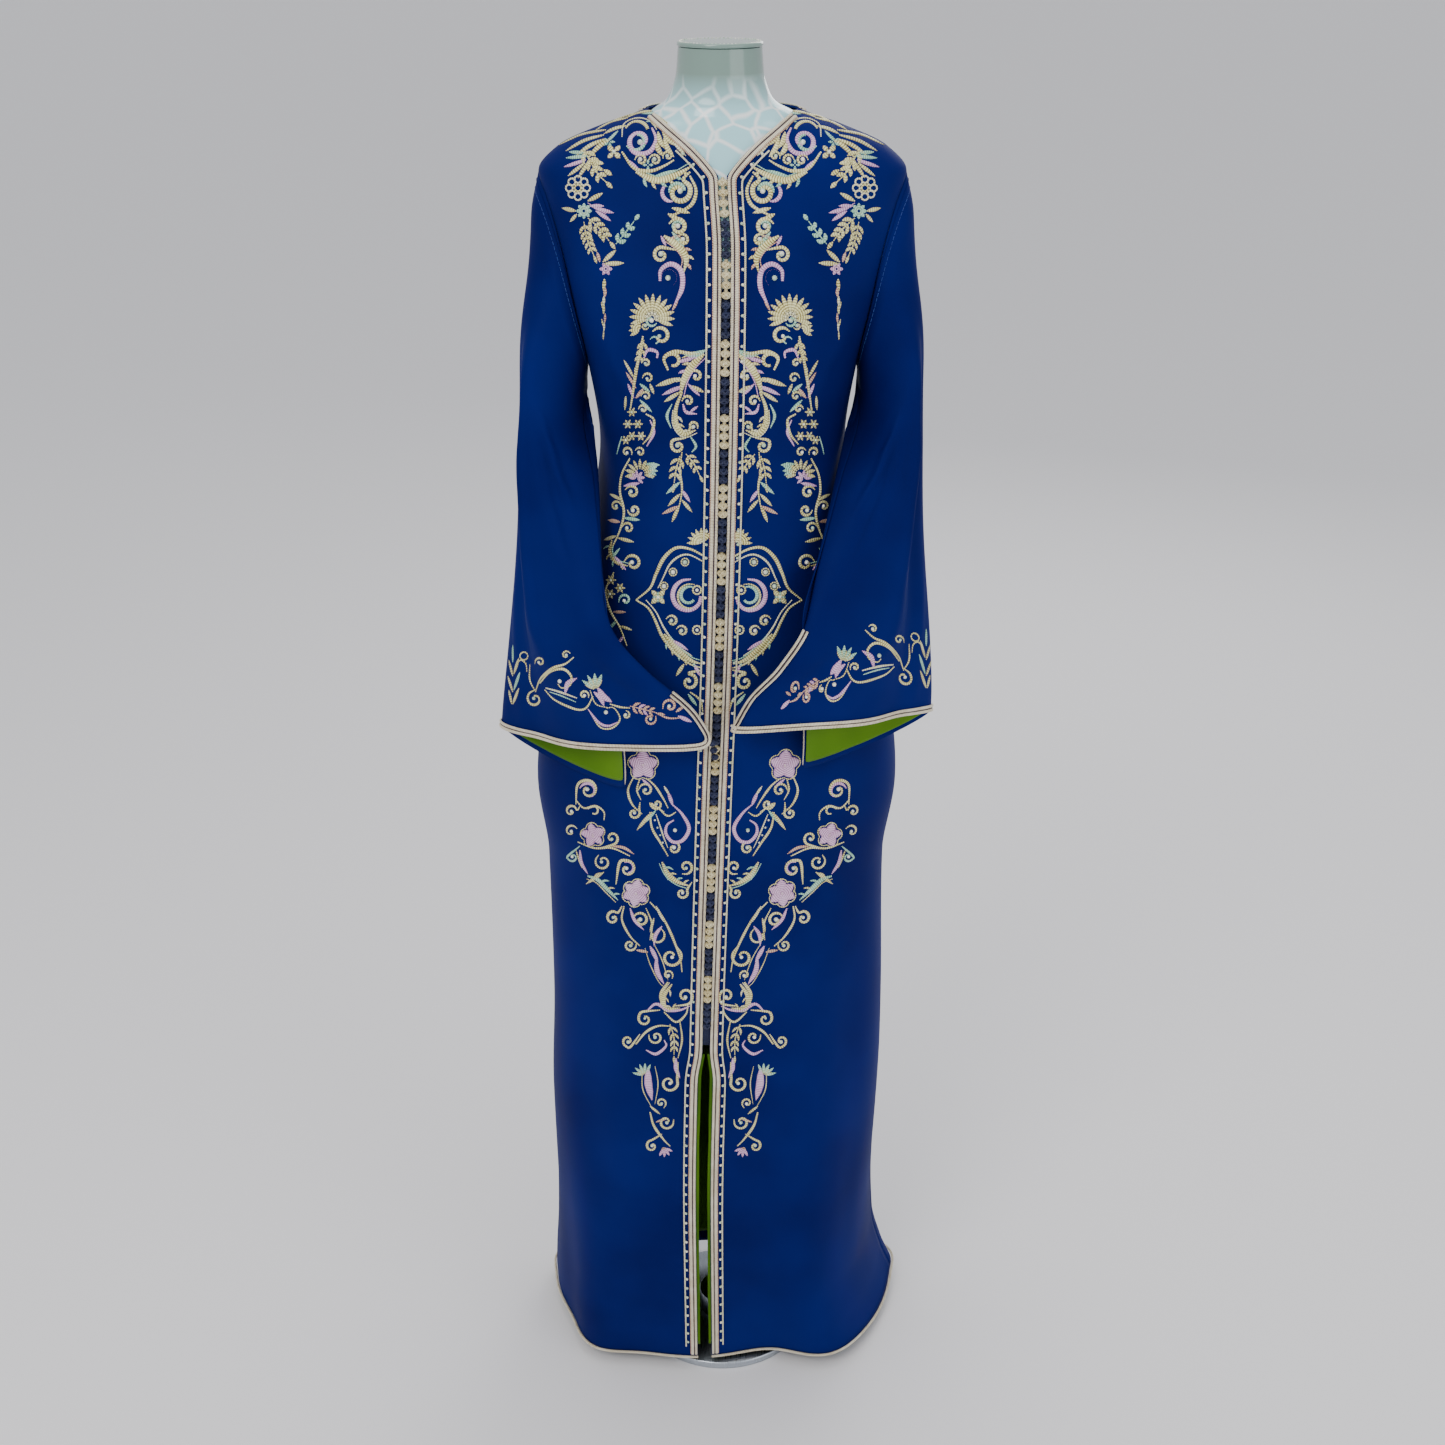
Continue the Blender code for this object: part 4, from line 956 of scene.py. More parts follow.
def spread(rows, run, step):
    # rows that go with lengths along a line, an even step apart
    at = np.linspace(0, run[-1], max(int(round(run[-1] / step)), 2) + 1)
    return np.stack([np.interp(at, run, column) for column in rows.T], axis=1)


def evenly(points, step):
    points = np.asarray(points, float)
    return spread(points, runAlong(points), step)


def evenlyWith(line, ways, step):
    # a line with points an even step apart, and the ways that go with them
    run = runAlong(line)
    out = spread(ways, run, step)
    return spread(line, run, step), out / np.linalg.norm(out, axis=1)[:, None]


def softened(points, times):
    # rounds the corners of a line, its ends kept
    points = points.copy()
    for _ in range(times):
        points[1:-1] = (points[:-2] + 2 * points[1:-1] + points[2:]) / 4
    return points


def edgeFrames(surface, edge, step, inwardHint, smoothing=2):
    # stations along an edge: place, way out, way in from the edge
    line = softened(evenly(edge, step), smoothing)
    tangents = np.gradient(line, axis=0)
    frames = []
    for place, tangent in zip(line, tangents):
        _, way = nearestOn(surface, place)
        inward = unit(np.cross(way, tangent))
        if inward @ inwardHint(place) < 0:
            inward = -inward
        frames.append((place, way, inward))
    return frames


def bandOn(surface, frames, across, section):
    # rings of a band whose middle lies this far in from the edge; section is across and out
    rings = []
    for place, way, inward in frames:
        base, baseWay = nearestOn(surface, place + inward * across)
        if across < 0.0004:
            base, baseWay = place + inward * across, way
        rings.append([base + inward * a + baseWay * o for a, o in section])
    return rings


def roundSection(width, height, low, count=10, flat=0.75):
    # a rounded cord or braid lying on cloth
    points = []
    for k in range(count):
        turn = 2 * math.pi * k / count
        a, o = math.cos(turn), math.sin(turn)
        points.append((math.copysign(abs(a) ** flat, a) * width / 2, low + height / 2 + o * height / 2))
    return points


gridOfFront = {"left": grids["front_left"], "right": grids["front_right"]}


def frontEdge(name):
    return gridOfFront[name]["points"][:, 0]


def awayFromMiddle(name):
    sign = 1.0 if name == "left" else -1.0
    return lambda place: np.array([sign, 0.0, 0.0]) if place[2] < 1.47 else np.array([sign * 0.8, 0.0, -0.6])


sfifaSettings = {
    "step": 0.004,
    "low": 0.0005,
    "inner": {"at": 0.0019, "width": 0.0030, "height": 0.0019},
    "line": {"at": 0.0039, "width": 0.0012, "height": 0.0011},
    "outer": {"at": 0.0064, "width": 0.0036, "height": 0.0019},
    "rim": {"at": 0.0086, "width": 0.0010, "height": 0.0010},
}
bandMaterials = {"inner": creamBraid, "line": darkCord, "outer": creamBraid, "rim": roseThread}


def braidBands(name, surface, frames, own, parts):
    # the cords of a braid side by side
    pieces = []
    for part in parts:
        size = own[part]
        rings = bandOn(surface, frames, size["at"], roundSection(size["width"], size["height"], own["low"]))
        pieces.append(sweep(f"{name}_{part}", rings, bandMaterials[part]))
    return pieces


def sfifaBands(name, surface, frames):
    return braidBands(name, surface, frames, sfifaSettings, ("inner", "line", "outer", "rim"))


def buildSfifa():
    for name in ("left", "right"):
        surface = f"front_{name}"
        frames = edgeFrames(surface, frontEdge(name)[1:-1], sfifaSettings["step"], awayFromMiddle(name))
        piece = joinPieces(f"sfifa_{name}_braid", sfifaBands(f"sfifa_{name}", surface, frames))
        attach(piece, "root")
        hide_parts(f"sfifa_{name}")
    edge = grids["back"]["points"][-1]
    frames = edgeFrames("back", edge[1:-1], sfifaSettings["step"], lambda place: np.array([0, 0.3, -1.0]))
    piece = joinPieces("sfifa_neck_back_braid", sfifaBands("sfifa_back", "back", frames))
    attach(piece, "root")
    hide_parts("sfifa_neck_back")


def tubeRings(line, radius, sides, ways=None):
    tangents = np.gradient(line, axis=0)
    rings = []
    last = np.array([0.0, -1.0, 0.0])
    for k, (place, tangent) in enumerate(zip(line, tangents)):
        t = unit(tangent)
        out = ways[k] if ways is not None else last
        out = unit(out - t * (out @ t))
        last = out
        side = np.cross(t, out)
        turns = 2 * math.pi * np.arange(sides) / sides
        rings.append([place + side * math.cos(a) * radius + out * math.sin(a) * radius for a in turns])
    return rings


picotSettings = {
    "from_edge": 0.0144, "radius": 0.0009, "step": 0.004, "pitch": 0.0146,
    "loop": {"lift": 0.0010, "half": 0.0015, "reach": 0.0019, "radius": 0.0005},
    "bead": {"radius": 0.0016, "reach": 0.0026, "lift": 0.0014},
}


def buildPicotCords():
    for name in ("left", "right"):
        surface = f"front_{name}"
        frames = edgeFrames(surface, frontEdge(name)[3:-9], picotSettings["step"], awayFromMiddle(name), 4)
        section = roundSection(2 * picotSettings["radius"], 2 * picotSettings["radius"], 0.0003, 8, 1.0)
        rings = bandOn(surface, frames, picotSettings["from_edge"], section)
        pieces = [sweep(f"picot_{name}_cord", rings, creamCord)]
        middles = evenly(softened(np.array(rings).mean(axis=1), 2), picotSettings["pitch"] / 2)
        for k, place in enumerate(middles[1:-1]):
            if k % 2:
                continue
            base, way = nearestOn(surface, place)
            tangent = unit(middles[k + 2] - middles[k])
            inward = unit(np.cross(way, tangent))
            if inward @ awayFromMiddle(name)(place) > 0:
                inward = -inward
            own, loop = picotSettings["loop"], []
            for turn in np.linspace(-0.35, math.pi + 0.35, 9):
                reach = tangent * own["half"] * math.cos(turn) + inward * own["reach"] * math.sin(turn)
                loop.append(base + way * own["lift"] + reach)
            pieces.append(sweep("loop", tubeRings(np.array(loop), own["radius"], 5), creamCord))
            own = picotSettings["bead"]
            centre = base + inward * own["reach"] + way * own["lift"]
            pieces.append(bead(centre, way, own["radius"], pearlBead))
        piece = joinPieces(f"picot_cord_{name}_loops", pieces)
        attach(piece, "root")
        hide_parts(f"picot_cord_{name}")


def bead(place, way, radius, material):
    # a low round bead standing on the cloth
    side = unit(np.cross(way, [0.3, 0.2, 0.9]))
    up = np.cross(way, side)
    rings = []
    for turn in (-1.2, -0.55, 0.1, 0.7, 1.15):
        r, h = radius * math.cos(turn), radius * math.sin(turn)
        angles = 2 * math.pi * np.arange(7) / 7
        rings.append([place + way * h + side * r * math.cos(a) + up * r * math.sin(a) for a in angles])
    return sweep("bead", rings, material)


hemCordSettings = {
    "first_step": 0.006, "step": 0.0006, "out": 0.0022, "rise": 0.0016,
    "pitch": 0.0048, "sway": 0.0008, "radius": 0.00095,
}


def alongHem(field):
    left, back, right = (grids[name][field][0] for name in ("front_left", "back", "front_right"))
    return np.concatenate([left[:-1], back, right[::-1][1:]])


def buildHemCord():
    own = hemCordSettings
    line, ways = evenlyWith(alongHem("points"), alongHem("ways"), own["first_step"])
    line, ways = evenlyWith(line, ways, own["step"])
    twist = []
    for strand in (0.0, math.pi):
        where = line + ways * own["out"] + np.array([0, 0, own["rise"]])
        tangent = np.gradient(where, axis=0)
        length = np.cumsum(np.linalg.norm(tangent, axis=1))
        side = np.cross(ways, tangent)
        side /= np.linalg.norm(side, axis=1)[:, None]
        turn = length / own["pitch"] * 2 * math.pi + strand
        where = where + side * (own["sway"] * np.cos(turn))[:,
                                                            None] + ways * (own["sway"] * np.sin(turn))[:,
                                                                                                        None]
        twist.append(sweep("strand", tubeRings(where, own["radius"], 5, ways=ways), creamBraid))
    piece = joinPieces("hem_cord_twist", twist)
    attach(piece, "root")
    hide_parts("hem_cord")


cuffSettings = {
    "step": 0.003,
    "low": 0.0005,
    "first": {"left": slitAlong + 0.015, "right": 0.86},
    "back_first": 0.735,
    "probe": 0.004,
    "outer": {"at": 0.0020, "width": 0.0034, "height": 0.0020},
    "line": {"at": 0.0043, "width": 0.0013, "height": 0.0011},
    "inner": {"at": 0.0066, "width": 0.0034, "height": 0.0020},
}


def buildCuffBraids():
    for name in ("left", "right"):
        grid = grids[f"sleeve_{name}"]
        points, alongs = grid["points"], grid["alongs"]
        first = int(np.searchsorted(alongs, cuffSettings["first"][name]))
        last = len(alongs) - 1
        backFirst = int(np.searchsorted(alongs, cuffSettings["back_first"]))
        edge = np.concatenate([points[first:last, 0], points[last], points[backFirst:last, -1][::-1]])
        frames = []
        line = softened(evenly(edge, cuffSettings["step"]), 2)
        tangents = np.gradient(line, axis=0)
        for place, tangent in zip(line, tangents):
            _, way = nearestOn(f"sleeve_{name}", place)
            inward = unit(np.cross(way, tangent))
            kept, _ = nearestOn(f"sleeve_{name}", place + inward * cuffSettings["probe"])
            other, _ = nearestOn(f"sleeve_{name}", place - inward * cuffSettings["probe"])
            if np.linalg.norm(kept - place) < np.linalg.norm(other - place):
                inward = -inward
            frames.append((place, way, inward))
        parts = ("outer", "line", "inner")
        pieces = braidBands(f"cuff_{name}", f"sleeve_{name}", frames, cuffSettings, parts)
        piece = joinPieces(f"cuff_braid_{name}_cords", pieces)
        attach(piece, "root")
        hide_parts(f"cuff_braid_{name}")


def buildSeams():
    # raised line of each armhole seam, with a row of small stitches beside it
    own = {
        "row": 2, "radius": 0.0006, "lift": 0.0002,
        "stitch_row": 4, "gap": 0.0052, "stitch_radius": 0.00035, "stitch_lift": 0.0001,
    }
    for name in ("left", "right"):
        grid = grids[f"sleeve_{name}"]
        points, ways = grid["points"], grid["ways"]
        ridgeWays = ways[own["row"]]
        ridge = softened(points[own["row"]] + ridgeWays * own["lift"], 1)
        pieces = [sweep("ridge", tubeRings(ridge, own["radius"], 6, ridgeWays), blueCrepe)]
        line, out = evenlyWith(points[own["stitch_row"]], ways[own["stitch_row"]], own["gap"] / 4)
        for k in range(0, len(line) - 4, 4):
            stitchLine = line[k : k + 4] + out[k : k + 4] * own["stitch_lift"]
            rings = tubeRings(stitchLine, own["stitch_radius"], 4, out[k : k + 4])
            pieces.append(sweep("stitch", rings, seamThread))
        piece = joinPieces(f"armhole_seam_{name}", pieces)
        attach(piece, "root")


buildSeams()
buildSfifa()
buildPicotCords()
buildHemCord()
buildCuffBraids()
print("braids and cords made")

knotSettings = {
    "pitch": 0.0091, "group": 4, "groups": 26, "out": 0.0022, "radius": 0.0034, "strand": 0.00125,
    "leads": 3, "bights": 4, "sway": 0.62, "steps": 66, "core": 0.0031, "string": 0.0016,
    "stray": (0.0003, 0.0002),
    "cuff": {"first": 0.0045, "pitch": 0.0080, "in": 0.0042, "shifts": (0.0, 0.0016, 0.0026), "size": 0.85},
}


def knotLine(centre, size, spin):
    # a cord woven round a ball
    points = []
    steps = knotSettings["steps"]
    for k in range(steps):
        turn = 2 * math.pi * knotSettings["leads"] * k / steps
        wave = turn * knotSettings["bights"] / knotSettings["leads"]
        height = knotSettings["sway"] * math.sin(wave)
        radius = knotSettings["radius"] * size * (1 + 0.13 * math.cos(2 * wave))
        flat = math.cos(height)
        points.append([
            centre[0] + radius * flat * math.cos(turn + spin),
            centre[1] + radius * flat * math.sin(turn + spin),
            centre[2] + radius * 1.15 * math.sin(height),
        ])
    return np.array(points)


def knotRings(line, radius, centre):
    tangents = np.roll(line, -1, axis=0) - np.roll(line, 1, axis=0)
    rings = []
    for place, tangent in zip(line, tangents):
        t = unit(tangent)
        out = unit(place - centre)
        out = unit(out - t * (out @ t))
        side = np.cross(t, out)
        turns = 2 * math.pi * np.arange(5) / 5
        rings.append([place + side * math.cos(a) * radius + out * math.sin(a) * radius for a in turns])
    return rings


closureRows = bodyRows()
closureLeft = grids["front_left"]["points"][:, 0]
closureRight = grids["front_right"]["points"][:, 0]


def closurePoint(z):
    left, right = (
        np.array([np.interp(z, closureRows, line[:, k]) for k in range(3)]) for line in (closureLeft,
                                                                                         closureRight)
    )
    return (left + right) / 2 + np.array([0, -1.0, 0]) * knotSettings["out"]


def knot(centre, material, rng, size=1.0):
    spin = rng.uniform(0, 6.28)
    line = knotLine(centre, size, spin)
    woven = sweep("knot", knotRings(line, knotSettings["strand"] * size, centre), material, closed=True)
    core = bead(centre, np.array([0, 0, 1.0]), knotSettings["core"] * size, material)
    return [woven, core]


def buildKnots():
    rng = random.Random(5)
    over, up = knotSettings["stray"]
    made = {"gold": [], "navy": []}
    nodes = {"gold": [], "navy": []}
    materials = {"gold": goldKnot, "navy": navyKnot}
    for group in range(knotSettings["groups"]):
        colour = "gold" if group % 2 == 0 else "navy"
        nodes[colour].append(f"knots_{group + 1:02d}_{colour}")
        for k in range(knotSettings["group"]):
            z = neckFrontZ - knotSettings["pitch"] * (group * knotSettings["group"] + k + 0.6)
            stray = np.array([rng.uniform(-over, over), 0, rng.uniform(-up, up)])
            made[colour] += knot(closurePoint(z) + stray, materials[colour], rng)
        line = [closurePoint(neckFrontZ - knotSettings["pitch"] * (group * 4 + s)) for s in (0.1, 2.0, 4.0)]
        rings = tubeRings(np.array(line), knotSettings["string"], 6)
        made[colour].append(sweep("string", rings, materials[colour]))
    for colour, pieces in made.items():
        piece = joinPieces(f"knots_{colour}_woven", pieces)
        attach(piece, "root")
        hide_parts(*nodes[colour])
    low, high = (np.array(corner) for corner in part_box("cuff_knot"))
    own, pieces = knotSettings["cuff"], []
    for k, shift in enumerate(own["shifts"]):
        z = high[2] - own["first"] - k * own["pitch"]
        x = low[0] + own["in"] + shift
        pieces += knot(np.array([x, (low[1] + high[1]) / 2, z]), navyKnot, rng, own["size"])
    piece = joinPieces("cuff_knot_woven", pieces)
    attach(piece, "root")
    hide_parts("cuff_knot")


buildKnots()
print("knots made")


liningSettings = {
    "thickness": 0.0006, "low": 0.036, "back_high": 0.600, "strip_high": 0.485, "margin": 6,
    "sleeve": {"from": 0.735, "to": 0.992, "inside": 0.0026, "crease": -0.0004},
    "back": {"inside": 0.0027, "crease": -0.0005},
    "strip": {"inside": 0.0024, "beyond": 0.0004,
              "across": (-0.0035, -0.0015, 0.0, 0.004, 0.010, 0.016, 0.022)},
}


def liningCreases(points, ways, seed, out):
    x, z = points[..., 0], points[..., 2]
    wave = uneven(x * 60, z * 18, seed)
    return points + ways * (out * wave)[..., None]


def buildLinings():
    own = liningSettings["sleeve"]
    for name in ("left", "right"):
        grid = grids[f"sleeve_{name}"]
        rows = [k for k, along in enumerate(grid["alongs"]) if own["from"] <= along <= own["to"]]
        points, ways = grid["points"][rows], grid["ways"][rows]
        inside = liningCreases(points - ways * own["inside"], ways, 41, own["crease"])
        piece = gridMesh(f"lining_sleeve_{name}", inside, greenSatin, flip=name == "left")
        thicken(piece, liningSettings["thickness"])
        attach(piece, "root")
        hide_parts(f"sleeve_lining_{name}")
    zs = closureRows
    rows = [k for k, z in enumerate(zs) if liningSettings["low"] <= z <= liningSettings["back_high"]]
    grid, own, margin = grids["back"], liningSettings["back"], liningSettings["margin"]
    points, ways = grid["points"][rows][:, margin:-margin], grid["ways"][rows][:, margin:-margin]
    inside = liningCreases(points - ways * own["inside"], ways, 43, own["crease"])
    piece = gridMesh("lining_skirt_back", inside, greenSatin)
    thicken(piece, liningSettings["thickness"])
    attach(piece, "root")
    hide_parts("skirt_lining_back")
    rows = [k for k, z in enumerate(zs) if liningSettings["low"] <= z <= liningSettings["strip_high"]]
    own = liningSettings["strip"]
    for name in ("left", "right"):
        grid = gridOfFront[name]
        strip = []
        for k in rows:
            place, way = grid["points"][k, 0], grid["ways"][k, 0]
            inward = unit(grid["points"][k, 2] - place)
            sway = 0.0004 * uneven(zs[k] * 40, 0.0, 61)
            strip.append([
                place + inward * a - way * (own["inside"] + own["beyond"] * (a < 0)) + inward * sway
                for a in own["across"]
            ])
        piece = gridMesh(f"lining_skirt_{name}", np.array(strip), greenSatin, flip=name == "right")
        thicken(piece, liningSettings["thickness"])
        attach(piece, "root")
        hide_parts(f"skirt_lining_{name}")


buildLinings()
print("linings made")

formSections = (
    (0.780, 0.128, -0.062, 0.070), (0.800, 0.146, -0.078, 0.084), (0.860, 0.158, -0.088, 0.094),
    (0.920, 0.158, -0.088, 0.094), (1.000, 0.140, -0.084, 0.080), (1.080, 0.118, -0.084, 0.068),
    (1.150, 0.116, -0.097, 0.068), (1.220, 0.126, -0.114, 0.078), (1.270, 0.134, -0.119, 0.084),
    (1.320, 0.142, -0.116, 0.087), (1.366, 0.152, -0.107, 0.088),
)
neckSections = (
    (1.5235, 0.0605, -0.0440, 0.0540), (1.5285, 0.0535, -0.0410, 0.0500), (1.5370, 0.0485, -0.0395, 0.0475),
    (1.5560, 0.0432, -0.0380, 0.0460), (1.5780, 0.0415, -0.0370, 0.0450),
)
neckShift, formColumns, formGap = -0.0024, 96, 0.0038
formMiddle = 0.004  # y of the form's sides
# the neck cap's section: rise, growth of the radius
capSteps = (
    (0.0, -0.0008), (0.0003, 0.0002), (0.0010, 0.0010), (0.0036, 0.0008),
    (0.0043, 0.0), (0.0045, -0.0012), (0.0046, -0.0200),
)
capSettings = {"gap": 0.0003, "beads": 64, "bead": 0.0009, "bead_share": 0.955, "bead_rise": 0.0046}


def formRing(z, halfWidth, front, back, square, shift):
    turn = 2 * math.pi * np.arange(formColumns) / formColumns
    across, ahead = np.sin(turn), np.cos(turn)
    x = shift + halfWidth * np.sign(across) * np.abs(across) ** (2 / square)
    depth = np.where(ahead > 0, formMiddle - front, back - formMiddle)
    y = formMiddle - depth * np.sign(ahead) * np.abs(ahead) ** (2 / square)
    return np.stack([x, y, np.full(formColumns, z)], axis=1)


def buildForm():
    rings = []
    for z in np.concatenate([[0.780, 0.784, 0.790], np.linspace(0.800, 1.350, 40)]):
        rings.append(formRing(z, *tableAt(formSections, z), 2.25, 0.0))
    zs = np.concatenate([np.linspace(1.378, 1.460, 12), np.linspace(1.466, neckTopZ, 16)])
    for z in zs:
        ring = []
        for k in range(formColumns):
            turn = 2 * k / formColumns
            share = 2 * min(turn, 2 - turn)
            arc = sideArc(z) * min(share, 1) + (backArc(z) - sideArc(z)) * max(share - 1, 0)
            arc = math.copysign(arc, 1 - turn) if arc else 1e-6
            place = bodyPoint(arc, z)
            step = 0.0015
            over = bodyPoint(arc + step, z) - bodyPoint(arc - step, z)
            up = bodyPoint(arc, z + step) - bodyPoint(arc, z - step)
            ring.append(place - unit(np.cross(over, up)) * formGap)
        rings.append(np.array(ring))
    for z in np.concatenate([np.linspace(1.5235, 1.556, 12), np.linspace(1.560, 1.5778, 6)]):
        rings.append(formRing(z, *tableAt(neckSections, z), 2.0, neckShift))
    piece = sweep("dress_form_shell", rings, mintShell)
    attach(piece, "root")
    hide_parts("dress_form")
    buildNeckCap()


def buildNeckCap():
    z, halfWidth, front, back = neckSections[-1]
    rings = []
    for rise, grow in capSteps:
        low = z + capSettings["gap"] + rise
        rings.append(formRing(low, halfWidth + grow, front - grow, back + grow, 2.0, neckShift))
    pieces = [sweep("neck_cap_disc", rings, mintShell)]
    share = capSettings["bead_share"]
    for k in range(capSettings["beads"]):
        turn = 2 * math.pi * k / capSettings["beads"]
        depth = formMiddle - front if math.cos(turn) > 0 else back - formMiddle
        x = neckShift + halfWidth * share * math.sin(turn)
        y = formMiddle - depth * share * math.cos(turn)
        place = np.array([x, y, z + capSettings["bead_rise"]])
        pieces.append(bead(place, np.array([0, 0, 1.0]), capSettings["bead"], pearlBead))
    cap = joinPieces("neck_cap_beaded", pieces)
    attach(cap, "root")
    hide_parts("neck_cap")


def roundDisc(name, radius, low, high, centre, bevel, sides, material):
    rings = []
    turn = 2 * math.pi * np.arange(sides) / sides
    for z, r in ((low, radius - bevel), (low + bevel, radius), (high - bevel, radius),
                 (high, radius - bevel)):
        x, y = centre[0] + r * np.cos(turn), centre[1] + r * np.sin(turn)
        rings.append(np.stack([x, y, np.full(sides, z)], axis=1))
    return sweep(name, rings, material)


def buildStand():
    for node, sides in (("stand_base", 160), ("stand_collar", 64), ("stand_pole", 48)):
        low, high = (np.array(corner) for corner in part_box(node))
        centre = (low + high) / 2
        radius, bevel = (high[1] - low[1]) / 2, 0.0012
        piece = roundDisc(node + "_turned", radius, low[2], high[2], centre, bevel, sides, brushedSteel)
        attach(piece, "root")
        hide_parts(node)


buildForm()
buildStand()
print("form and stand made")

tapeSettings = {"under": 0.006, "low": 0.489, "high": 1.367, "out": -0.0020, "thickness": 0.0007}


def buildTape():
    # the strip behind the knots, under both front edges
    rows = [k for k, z in enumerate(closureRows) if tapeSettings["low"] <= z <= tapeSettings["high"]]
    lines = []
    for k in rows:
        sides = []
        for name in ("right", "left"):
            grid = gridOfFront[name]
            edge, way = grid["points"][k, 0], grid["ways"][k, 0]
            inward = unit(grid["points"][k, 2] - edge)
            sides.append([edge + way * tapeSettings["out"] + inward * tapeSettings["under"],
                          edge + way * (tapeSettings["out"] - tapeSettings["thickness"])])
        lines.append([sides[0][0], sides[0][1], sides[1][1], sides[1][0]])
    piece = gridMesh("closure_tape_ribbed", np.array(lines), navyKnot)
    thicken(piece, tapeSettings["thickness"])
    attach(piece, "root")
    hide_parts("closure_tape")


buildTape()

# embroidery: drawn in the photograph's pixels on the viewer's left and laid on the cloth
closureColumn = (
    (150, 721.5), (400, 721.0), (600, 719.0), (700, 716.5),
    (800, 712.5), (950, 707.0), (1045, 704.5), (1160, 703.5),
)  # pixel row, pixel column of the closure
threadKinds = {
    "gold": goldThread, "pale": paleThread, "pink": pinkThread,
    "mint": mintThread, "rose": roseThread, "pearl": pearlBead,
}
stitched = {}
# step in pixels; half width of a stroke and radius of a pearl in metres a pixel
stitchSettings = {
    "step": 1.7, "height": 0.00085, "sink": 0.0003, "half": 0.00054, "pearl": 0.00108, "pearl_lift": 0.0003,
}
pen = {"part": "body", "surface": "front_right", "mirror": False}


# the other cuff hangs differently: all in pixels, apart from the stretch
cuffMirror = {"sum": 1439, "middle": 603, "stretch": 0.38, "up": 13, "arch": 15, "first": 500, "width": 190}


def penPlace(x, y):
    # a pixel, or the one that mirrors it on the other side of the closure
    if not pen["mirror"]:
        return x, y
    if pen["part"] == "body":
        return 2 * float(np.interp(y, *zip(*closureColumn))) - x, y
    own = cuffMirror
    share = min(max((x - own["first"]) / own["width"], 0), 1)
    beyond = max(0.0, x - own["middle"]) * own["stretch"]
    return own["sum"] - x + beyond, y - own["up"] - own["arch"] * math.sin(math.pi * share)


def through(points, step):
    # a smooth line through points
    points = np.asarray(points, float)
    if len(points) == 2:
        return evenly(points, step)
    padded = np.vstack([2 * points[0] - points[1], points, 2 * points[-1] - points[-2]])
    made = []
    for k in range(1, len(padded) - 2):
        a, b, c, d = padded[k - 1 : k + 3]
        for t in np.arange(0, 1, 0.1):
            bent = (2 * a - 5 * b + 4 * c - d) * t * t + (3 * b - a - 3 * c + d) * t**3
            made.append(0.5 * (2 * b + (c - a) * t + bent))
    made.append(points[-1])
    return evenly(np.array(made), step)


def stitch(line, widths, colour, rise=1.0, groove=False, closed=False):
    # a padded band of laid thread; widths in pixels, spread along the line
    line = np.asarray(line, float)
    widths = np.interp(np.linspace(0, 1, len(line)), np.linspace(0, 1, len(widths)), widths)
    stations = []
    for (x, y), width in zip(line, widths):
        hit = castOn(pen["surface"], *penPlace(x, y))
        if hit is None:
            continue
        stations.append((*hit, width))
    if len(stations) < 3:
        return
    places = np.array([s[0] for s in stations])
    tangents = np.gradient(places, axis=0)
    if closed:
        tangents[0] = tangents[-1] = places[1] - places[-2]
    kept = stitched.setdefault((pen["surface"], colour), {"points": [], "faces": [], "uvs": []})
    start = len(kept["points"])
    top = stitchSettings["height"] * rise
    profile = ((-1.0, -1), (-0.62, 0.72), (0.0, 0.45 if groove else 1.0), (0.62, 0.72), (1.0, -1))
    run = runAlong(places)
    for (place, way, width), tangent in zip(stations, tangents):
        side = unit(np.cross(way, tangent))
        half = width * stitchSettings["half"]
        lift = top * min(1.0, 0.35 + width / 4.5)
        for a, h in profile:
            out = h * lift if h > 0 else -stitchSettings["sink"]
            kept["points"].append(place + side * a * half + way * out)
    for i in range(len(stations) - 1):
        for j in range(4):
            a = start + i * 5 + j
            kept["faces"].append((a, a + 5, a + 6, a + 1))
            low, high = j / 4, (j + 1) / 4
            kept["uvs"] += [(run[i], low), (run[i + 1], low), (run[i + 1], high), (run[i], high)]


def stem(colour, width, *points, ends=(0.5, 1.0, 0.4)):
    stitch(through(points, stitchSettings["step"]), [width * e for e in ends], colour)


def leaf(colour, x0, y0, x1, y1, width, bend=0.0):
    a, b = np.array([x0, y0], float), np.array([x1, y1], float)
    across = np.array([-(b - a)[1], (b - a)[0]])
    line = through([a, (a + b) / 2 + across * bend, b], 1.5)
    stitch(line, [width * w for w in (0.25, 0.85, 1.0, 0.8, 0.12)], colour, 1.3, True)


